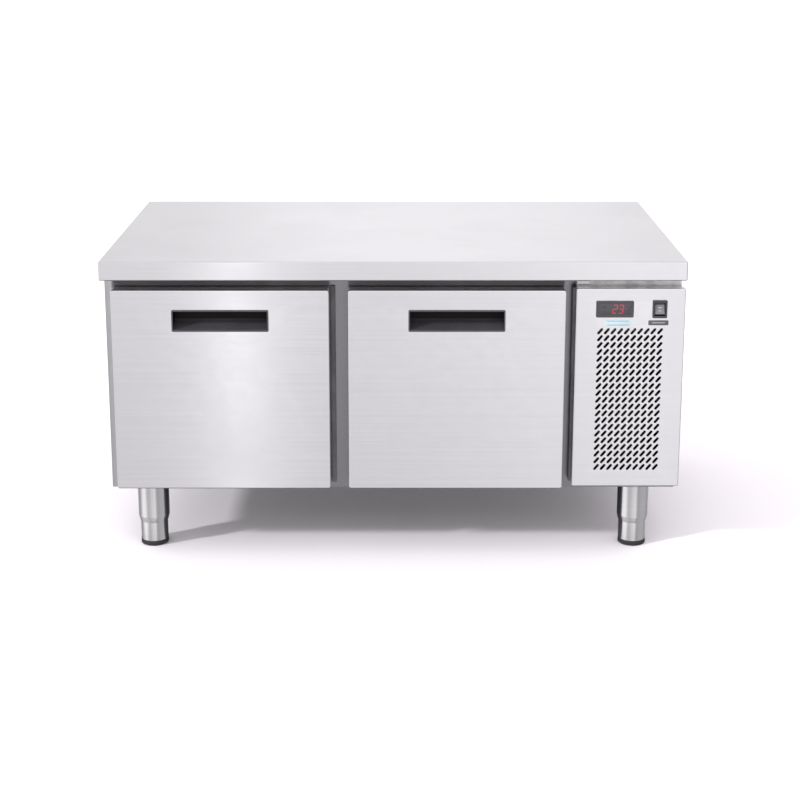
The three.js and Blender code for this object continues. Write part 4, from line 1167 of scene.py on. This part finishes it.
class COUNTER_OT_controls(bpy.types.Operator):
    """Build the controller, the rocker switch and the plain labels"""

    bl_idname = "counter.controls"
    bl_label = "Controls"

    def execute(self, context):
        self.add_controller(context.scene.counter_sizes)
        self.add_switch()
        self.add_labels()
        return {"FINISHED"}

    def add_controller(self, sizes):
        """Bezel with a raised rim, window, keys, lit figures and lamp."""
        refined("controller", "controller_plastic", 0.8, 4)
        low, high = box_corners("controller")
        face = low.y
        middle_x, middle_z = (low.x + high.x) / 2, (low.z + high.z) / 2
        glass = (high.x - low.x - 0.012, high.z - low.z - 0.011)
        upright_plate(
            "display_window", (middle_x, middle_z), glass, 0.002, face - 0.0002, face + 0.0006,
            "display_window", 0.0002,
        )
        lit = face - 0.00045
        figures_at = (middle_x + 0.006, middle_z + 0.0005)
        figures = figure_mesh("display_figures", "23", figures_at, sizes.digit_height, lit, 0.0003)
        add_piece("display_figures", figures, CABINET, "figures")
        upright_plate(
            "display_lamp", (middle_x + 0.0215, middle_z + 0.0015), (0.002, 0.002), 0.0009,
            lit, face - 0.0001, "figures",
        )
        for i, rise in enumerate((-0.0055, 0.0055)):
            upright_plate(
                f"controller_key_{i}", (low.x + 0.014, middle_z + rise), (0.01, 0.0064), 0.0012,
                face - 0.0007, face, "controller_plastic", 0.0003,
            )

    def add_switch(self):
        """Housing, and a black rocker with a grey cap over all but its top, whose bare black band is painted
        shade, and two plain bars.
        """
        refined("switch_housing", "switch_plastic", 0.7, 3)
        refined("switch_rocker", "switch_plastic", 0.5, 3, 30.0)
        points = [vertex.co for vertex in NODES["switch_rocker"].data.vertices]
        left, right = min(p.x for p in points), max(p.x for p in points)
        reach = min(p.y for p in points) + 0.006
        profile = sorted({(round(p.z, 5), round(p.y, 5)) for p in points if p.y < reach})
        bottom, top = profile[0][0], profile[-1][0]

        def on_face(u, v, back):
            """The place a share across and a share up the rocker's face, set back from it."""
            x, z = left + (right - left) * u, bottom + (top - bottom) * v
            for (z0, y0), (z1, y1) in zip(profile, profile[1:]):
                if z <= z1:
                    return Vector((x, y0 + (y1 - y0) * (z - z0) / (z1 - z0) + back, z))
            return Vector((x, profile[-1][1] + back, z))

        def inlay(name, low, high, rise, material):
            """A thin cap on the rocker's face between two places given in shares."""
            bm = bmesh.new()
            steps = 10
            corners = ((low[0], 0.0003), (low[0], -rise), (high[0], -rise), (high[0], 0.0003))
            rings = []
            for i in range(steps + 1):
                v = low[1] + (high[1] - low[1]) * i / steps
                rings.append([bm.verts.new(on_face(u, v, back)) for u, back in corners])
            for first, second in zip(rings, rings[1:]):
                bridge(bm, first, second)
            bm.faces.new(rings[0])
            bm.faces.new(list(reversed(rings[-1])))
            body = NODES["switch_rocker"]["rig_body"]
            piece = add_piece(name, mesh_from(bm, name), body, material)
            soften(piece, rise * 0.6, 2, 50)

        # The cap stops short of the rocker's top, so a band of the black rocker shows there: painted shade.
        inlay("rocker_cap", (0.04, 0.03), (0.96, 0.8), 0.0005, "rocker_plastic")
        inlay("rocker_mark_low", (0.36, 0.26), (0.64, 0.32), 0.0007, "rocker_mark")
        inlay("rocker_mark_high", (0.3, 0.52), (0.7, 0.58), 0.0007, "rocker_mark")

    def add_labels(self):
        """Two plain printed plates under the controls."""
        sheet = box_corners("front_panel")[0].y
        front = sheet - FILM
        low, high = box_corners("controller")
        pale_at = ((low.x + high.x) / 2 + 0.007, low.z - 0.0123)
        low, high = box_corners("switch_housing")
        dark_at = ((low.x + high.x) / 2 - 0.002, low.z - 0.0102)
        rows = (
            ("pale", pale_at, (0.0557, 0.0135), 0.8, (-0.3, 0.3), "label_line"),
            ("dark", dark_at, (0.0415, 0.0106), 0.64, (0.0,), "label_stroke"),
        )
        for kind, at, size, line_share, line_places, ink in rows:
            name = f"{kind}_label"
            upright_plate(name, at, size, 0.0022, front, sheet - 0.00002, name, 0.0001)
            for i, place in enumerate(line_places):
                upright_plate(
                    f"{name}_line_{i}", (at[0], at[1] + place * size[1]), (line_share * size[0], 0.0012),
                    0.0005, front - 0.0001, front + 0.0001, ink, steps=3,
                )


# ---- Cooling unit -------------------------------------------------------------------------------


def finned_block(node, fin_gap, material, tube_rows):
    """Thin fins on tubes between two end plates, filling the node's box."""
    low, high = box_corners(node)
    bm = bmesh.new()

    def block(corner_a, corner_b):
        bmesh.ops.create_cube(bm, size=1.0, matrix=block_matrix(Vector(corner_a), Vector(corner_b)))

    end_plate = 0.0025
    half_fin = 0.00012
    block(low, (low.x + end_plate, high.y, high.z))
    block((high.x - end_plate, low.y, low.z), high)
    for i in range(1, int((high.x - low.x - 2 * end_plate) / fin_gap)):
        x = low.x + end_plate + i * fin_gap
        block((x - half_fin, low.y + 0.001, low.z + 0.003), (x + half_fin, high.y - 0.001, high.z - 0.003))
    radius = 0.0045
    along = Matrix.Rotation(math.pi / 2, 4, "Y")
    for row in range(tube_rows):
        z = low.z + (row + 0.5) * (high.z - low.z) / tube_rows
        for share in (0.3, 0.7):
            middle = ((low.x + high.x) / 2, low.y + share * (high.y - low.y), z)
            bmesh.ops.create_cone(
                bm, cap_ends=True, segments=12, radius1=radius, radius2=radius,
                depth=high.x - low.x - 0.0002, matrix=Matrix.Translation(middle) @ along,
            )
    name = node.removesuffix("_coil")
    return add_piece(name, mesh_from(bm, name), CABINET, material, (node,))


class COUNTER_OT_cooling_unit(bpy.types.Operator):
    """Build the cooling unit behind the machine panel"""

    bl_idname = "counter.cooling_unit"
    bl_label = "Cooling unit"

    def execute(self, context):
        finned_block("condenser_coil", 0.0028, "black_paint", 12)
        refined("unit_base_tray", "galvanised_steel", 0.4)
        refined("condenser_fan_shroud", "galvanised_steel", 0.4)
        refined("condenser_fan_motor", "black_paint", 0.8, 2, 30)
        refined("condenser_fan", "fin_aluminium", 0.3, 2, 30)
        self.add_compressor()
        refined("electrical_box", "grey_paint", 0.7)
        for line in ("suction_line", "liquid_line"):
            refined(line, "copper", 0.2, 1, 60)
        return {"FINISHED"}

    def add_compressor(self):
        """A domed shell with a seam, on a plate with four rubber feet."""
        low, high = box_corners("compressor")
        centre = ((low.x + high.x) / 2, (low.y + high.y) / 2)
        seam = (high.y - low.y) / 2
        radius = seam * 0.985
        base = low.z + 0.014
        dome = 0.06
        outline = [
            (0, base), (seam * 0.78, base), (seam * 0.95, base + 0.008), (radius, base + 0.022),
            (radius, base + 0.07), (seam, base + 0.072), (seam, base + 0.082), (radius, base + 0.084),
            (radius, high.z - dome),
        ]
        for degrees in range(6, 90, 6):
            turn = math.radians(degrees)
            outline.append((radius * math.cos(turn), high.z - dome + dome * math.sin(turn)))
        outline.append((0, high.z))
        shell = lathe("compressor_shell", outline, centre, 64)
        add_piece("compressor_shell", shell, CABINET, "black_paint", ("compressor",))
        bm = bmesh.new()
        half_x, half_y = 0.093, 0.06
        plate_outline = rounded_outline((centre[0] - half_x, -half_y), (centre[0] + half_x, half_y), 0.02)
        rings = [
            [bm.verts.new((x, centre[1] + y, z)) for x, y in plate_outline]
            for z in (base - 0.001, base + 0.002)
        ]
        bridge(bm, rings[0], rings[1])
        bm.faces.new(list(reversed(rings[0])))
        bm.faces.new(rings[1])
        name = "compressor_plate"
        add_piece(name, mesh_from(bm, name), CABINET, "black_paint")
        wide, waist, top = 0.011, 0.008, base - 0.0012
        outline = [
            (0, low.z), (wide, low.z), (wide, low.z + 0.005), (waist, low.z + 0.007),
            (wide, low.z + 0.009), (wide, top), (0, top),
        ]
        grommet = rounded_profile(outline, 0.001)
        for i, dx in enumerate((-0.08, 0.08)):
            for j, dy in enumerate((-0.045, 0.045)):
                name = f"compressor_grommet_{i}_{j}"
                mesh = lathe(name, grommet, (centre[0] + dx, centre[1] + dy), 24)
                add_piece(name, mesh, CABINET, "gasket_rubber")


class COUNTER_OT_evaporator(bpy.types.Operator):
    """Build the evaporator, its cover and its fan"""

    bl_idname = "counter.evaporator"
    bl_label = "Evaporator"

    def execute(self, context):
        finned_block("evaporator_coil", 0.0045, "fin_aluminium", 10)
        refined("evaporator_cover", "liner_steel", 0.45)
        refined("evaporator_fan_housing", "fan_plastic", 0.5)
        refined("evaporator_fan", "fan_plastic", 0.4, 2, 30)
        return {"FINISHED"}


# ---- Legs ---------------------------------------------------------------------------------------


class COUNTER_OT_legs(bpy.types.Operator):
    """Build the four legs with their feet and pads"""

    bl_idname = "counter.legs"
    bl_label = "Legs"

    def execute(self, context):
        for foot in FEET:
            self.add_leg(foot)
        return {"FINISHED"}

    def add_leg(self, foot):
        """A polished tube whose lower end is drawn in, over a foot with a plastic pad."""
        low, high = box_corners(f"{foot}_leg_tube")
        cup_low, cup_high = box_corners(f"{foot}_foot_cup")
        pad_low, pad_high = box_corners(f"{foot}_foot_pad")
        centre = ((low.x + high.x) / 2, (low.y + high.y) / 2)
        radius = (cup_high.x - cup_low.x) / 2
        inside = radius + 0.0004
        flange = (high.x - low.x) / 2
        tube = flange - 0.0015
        shoulder = high.z - 0.004
        outline = [
            (inside, low.z), (inside + 0.0009, low.z), (tube, low.z + 0.012), (tube, shoulder),
            (flange, shoulder), (flange, high.z), (inside, high.z), (inside, low.z),
        ]
        leg = lathe(f"{foot}_leg", rounded_profile(outline, 0.0016, 5), centre)
        add_piece(f"{foot}_leg", leg, CABINET, "leg_steel", (f"{foot}_leg_tube",))
        rim = pad_high.z - 0.008
        top = low.z + 0.035
        stem = 0.008
        outline = [
            (radius - 0.002, rim), (radius, rim), (radius, top), (stem, top), (stem, cup_high.z),
            (0, cup_high.z),
        ]
        cup = lathe(f"{foot}_cup", rounded_profile(outline, 0.0008), centre)
        body = f"{foot}_foot"
        add_piece(f"{foot}_cup", cup, body, "leg_steel", (f"{foot}_foot_cup",))
        wide = (pad_high.x - pad_low.x) / 2
        under = rim - 0.0003
        plug = radius - 0.0025
        outline = [
            (0, 0), (wide - 0.0015, 0), (wide, 0.0018), (wide, rim - 0.0035), (wide - 0.0008, under),
            (plug, under), (plug, pad_high.z), (0, pad_high.z),
        ]
        pad = lathe(f"{foot}_pad", rounded_profile(outline, 0.0009), centre)
        add_piece(f"{foot}_pad", pad, body, "pad_plastic", (f"{foot}_foot_pad",))


# ---- Studio -------------------------------------------------------------------------------------


# Brightness that the steel reflects, as (share of the way across, level) from left to right.
FRONT_ZONES = (
    (0.0, 0.64), (0.2, 0.72), (0.34, 0.81), (0.383, 0.77), (0.398, 0.9), (0.415, 1.5), (0.432, 0.9),
    (0.447, 0.79), (0.488, 0.83), (0.54, 0.88), (0.6, 0.97), (0.66, 1.02), (0.78, 0.98), (0.88, 0.72),
    (1.0, 0.48),
)
BACK_ZONES = ((0.0, 0.76), (0.22, 0.86), (0.42, 1.03), (0.6, 1.02), (0.85, 0.92), (1.0, 0.9))
SIDE_ZONES = ((0.0, 0.48), (0.26, 0.55), (0.37, 1.0), (0.63, 1.0), (0.76, 0.5), (1.0, 0.42))


def mix_numbers(tree, mask, first, second):
    """Mixes two numbers or links by a mask; returns its output."""
    node = add(tree, "ShaderNodeMix", {"data_type": "FLOAT"})
    for index, value in ((0, mask), (2, first), (3, second)):
        feed(tree, node.inputs[index], value)
    return node.outputs[0]


def studio_ramp(tree, value, low, high, zones):
    """Brightness along value from zones of (share of the way, brightness)."""
    scaled = add(tree, "ShaderNodeMapRange", Value=value, From_Min=low, From_Max=high)
    node = add(tree, "ShaderNodeValToRGB", Fac=scaled.outputs["Result"])
    ramp = node.color_ramp
    ramp.interpolation = "EASE"
    while len(ramp.elements) < len(zones):
        ramp.elements.new(0.5)
    for element, (share, _) in zip(ramp.elements, zones):
        element.position = share
    for element, (_, level) in zip(ramp.elements, zones):
        element.color = (level, level, level, 1.0)
    return node.outputs["Color"]


def studio_mirror(tree, x, y, z):
    """The brightness that shiny surfaces see along a direction."""
    across = math_node(tree, "DIVIDE", x, math_node(tree, "MAXIMUM", times(tree, y, -1.0), 0.06))
    rise = ramp_node(tree, z, -0.62, 0.1, 0.72, 1.22)
    front = times(tree, studio_ramp(tree, across, -0.6, 0.6, FRONT_ZONES), rise)
    beside = ramp_node(tree, x, -0.3, 0.3, 0.62, 0.47)
    front = mix_numbers(tree, ramp_node(tree, y, -0.8, -0.3), front, beside)
    sides = studio_ramp(tree, x, -0.8, 0.8, SIDE_ZONES)
    sides = mix_numbers(tree, ramp_node(tree, z, -0.08, 0.08), sides, 1.0)
    back = times(tree, studio_ramp(tree, x, -0.25, 0.25, BACK_ZONES), sides)
    mirror = mix_numbers(tree, ramp_node(tree, y, 0.1, 0.4), front, back)
    lamp_way = math_node(tree, "ADD", times(tree, x, -0.94), times(tree, y, -0.34))
    mirror = math_node(tree, "ADD", mirror, ramp_node(tree, lamp_way, 0.8, 0.92, 0.0, 0.42))
    return times(tree, mirror, ramp_node(tree, z, -0.95, -0.72, 0.08, 1.0))


def studio_world(ambient):
    """White behind the counter, an even fill light, and soft bright and dim zones to reflect."""
    world = bpy.data.worlds.new("Studio")
    bpy.context.scene.world = world
    world.use_nodes = True
    tree = world.node_tree
    tree.nodes.clear()
    direction = add(tree, "ShaderNodeTexCoord").outputs["Generated"]
    x, y, z = add(tree, "ShaderNodeSeparateXYZ", Vector=direction).outputs
    path = add(tree, "ShaderNodeLightPath")
    strength = mix_numbers(tree, path.outputs["Is Glossy Ray"], ambient, studio_mirror(tree, x, y, z))
    backdrop = 1.1
    strength = mix_numbers(tree, path.outputs["Is Camera Ray"], strength, backdrop)
    background = add(tree, "ShaderNodeBackground", Color=(1.0, 0.985, 1.0, 1.0), Strength=strength)
    add(tree, "ShaderNodeOutputWorld", Surface=background.outputs[0])


class COUNTER_OT_studio(bpy.types.Operator):
    """Set up the floor, lights and camera"""

    bl_idname = "counter.studio"
    bl_label = "Studio"

    def execute(self, context):
        settings = context.scene.counter_studio
        self.add_floor(settings)
        studio_world(settings.ambient)
        sun = bpy.data.lights.new("Key", "SUN")
        sun.energy = settings.key_power
        sun.angle = math.radians(5)
        key = bpy.data.objects.new("Key", sun)
        context.scene.collection.objects.link(key)
        key.rotation_euler = Vector((0.87, 0.45, -0.5)).to_track_quat("-Z", "Y").to_euler()
        key.visible_glossy = False
        self.add_shade()
        self.add_camera(context, settings)
        context.scene.view_settings.view_transform = "Standard"
        return {"FINISHED"}

    def add_floor(self, settings):
        """A wide pale floor with a barely uneven surface."""
        bm = bmesh.new()
        bmesh.ops.create_grid(bm, x_segments=8, y_segments=8, size=40)
        floor = bpy.data.objects.new("Floor", mesh_from(bm, "Floor"))
        bpy.context.scene.collection.objects.link(floor)
        material, tree, shader = new_material("Pale floor", Specular_IOR_Level=0.1, Roughness=0.9)
        drift = noise_node(tree, object_place(tree), 0.8, 2.0)
        tint = blend_colours(tree, drift, rgba(settings.floor, 0.995), rgba(settings.floor, 1.005))
        feed(tree, shader.inputs["Base Color"], tint)
        floor.data.materials.append(material)
        floor.visible_glossy = False

    def add_shade(self):
        """A dark card on the floor that the legs and underside reflect and nothing else sees."""
        bm = bmesh.new()
        place = Matrix.Translation((0, 0.03, 0.001)) @ Matrix.Diagonal((0.56, 0.3, 1, 1))
        bmesh.ops.create_grid(bm, x_segments=4, y_segments=4, size=1, matrix=place)
        card = bpy.data.objects.new("Shade", mesh_from(bm, "Shade"))
        bpy.context.scene.collection.objects.link(card)
        material = new_material(
            "Shade", Roughness=1.0, Specular_IOR_Level=0.0, Base_Color=(0.11, 0.104, 0.112, 1)
        )[0]
        card.data.materials.append(material)
        card.visible_camera = card.visible_diffuse = card.visible_shadow = False

    def add_camera(self, context, settings):
        """The camera in front, looking down a little."""
        data = bpy.data.cameras.new("Camera")
        data.sensor_width = 36
        data.lens = settings.camera_lens / MM
        data.shift_x = settings.shift_x
        data.shift_y = settings.shift_y
        data.clip_end = 200
        camera = bpy.data.objects.new("Camera", data)
        context.scene.collection.objects.link(camera)
        camera.location = (settings.camera_across, -settings.camera_back, settings.camera_up)
        camera.rotation_euler = (math.radians(90) - settings.camera_pitch, 0, 0)
        context.scene.camera = camera


# ---- Add-on -------------------------------------------------------------------------------------

PIECES = (
    COUNTER_OT_worktop,
    COUNTER_OT_body,
    COUNTER_OT_cell,
    COUNTER_OT_slides,
    COUNTER_OT_drawer_fronts,
    COUNTER_OT_handles,
    COUNTER_OT_drawer_boxes,
    COUNTER_OT_machine_panel,
    COUNTER_OT_controls,
    COUNTER_OT_cooling_unit,
    COUNTER_OT_evaporator,
    COUNTER_OT_legs,
    COUNTER_OT_studio,
)


class COUNTER_PT_panel(bpy.types.Panel):
    """Sidebar panel with the counter's sizes, finishes and builders"""

    bl_label = "Refrigerated counter"
    bl_space_type = "VIEW_3D"
    bl_region_type = "UI"
    bl_category = "Counter"

    def draw(self, context):
        layout = self.layout
        for settings in ("counter_sizes", "counter_finishes", "counter_studio"):
            group = getattr(context.scene, settings)
            column = layout.box().column()
            for name in group.__annotations__:
                column.prop(group, name)
        for operator in PIECES:
            layout.operator(operator.bl_idname)


CLASSES = (CounterSizes, CounterFinishes, StudioSettings, *PIECES, COUNTER_PT_panel)


def register():
    """Registers the classes and hangs their settings on the scene."""
    for cls in CLASSES:
        bpy.utils.register_class(cls)
    bpy.types.Scene.counter_sizes = bpy.props.PointerProperty(type=CounterSizes)
    bpy.types.Scene.counter_finishes = bpy.props.PointerProperty(type=CounterFinishes)
    bpy.types.Scene.counter_studio = bpy.props.PointerProperty(type=StudioSettings)


def unregister():
    """Takes the settings and the classes away again."""
    del bpy.types.Scene.counter_studio
    del bpy.types.Scene.counter_finishes
    del bpy.types.Scene.counter_sizes
    for cls in reversed(CLASSES):
        bpy.utils.unregister_class(cls)


def main():
    """Builds the pieces and the studio."""
    register()
    for operator in PIECES:
        category, name = operator.bl_idname.split(".")
        getattr(getattr(bpy.ops, category), name)()
    bpy.context.view_layer.update()


if __name__ == "__main__":
    main()
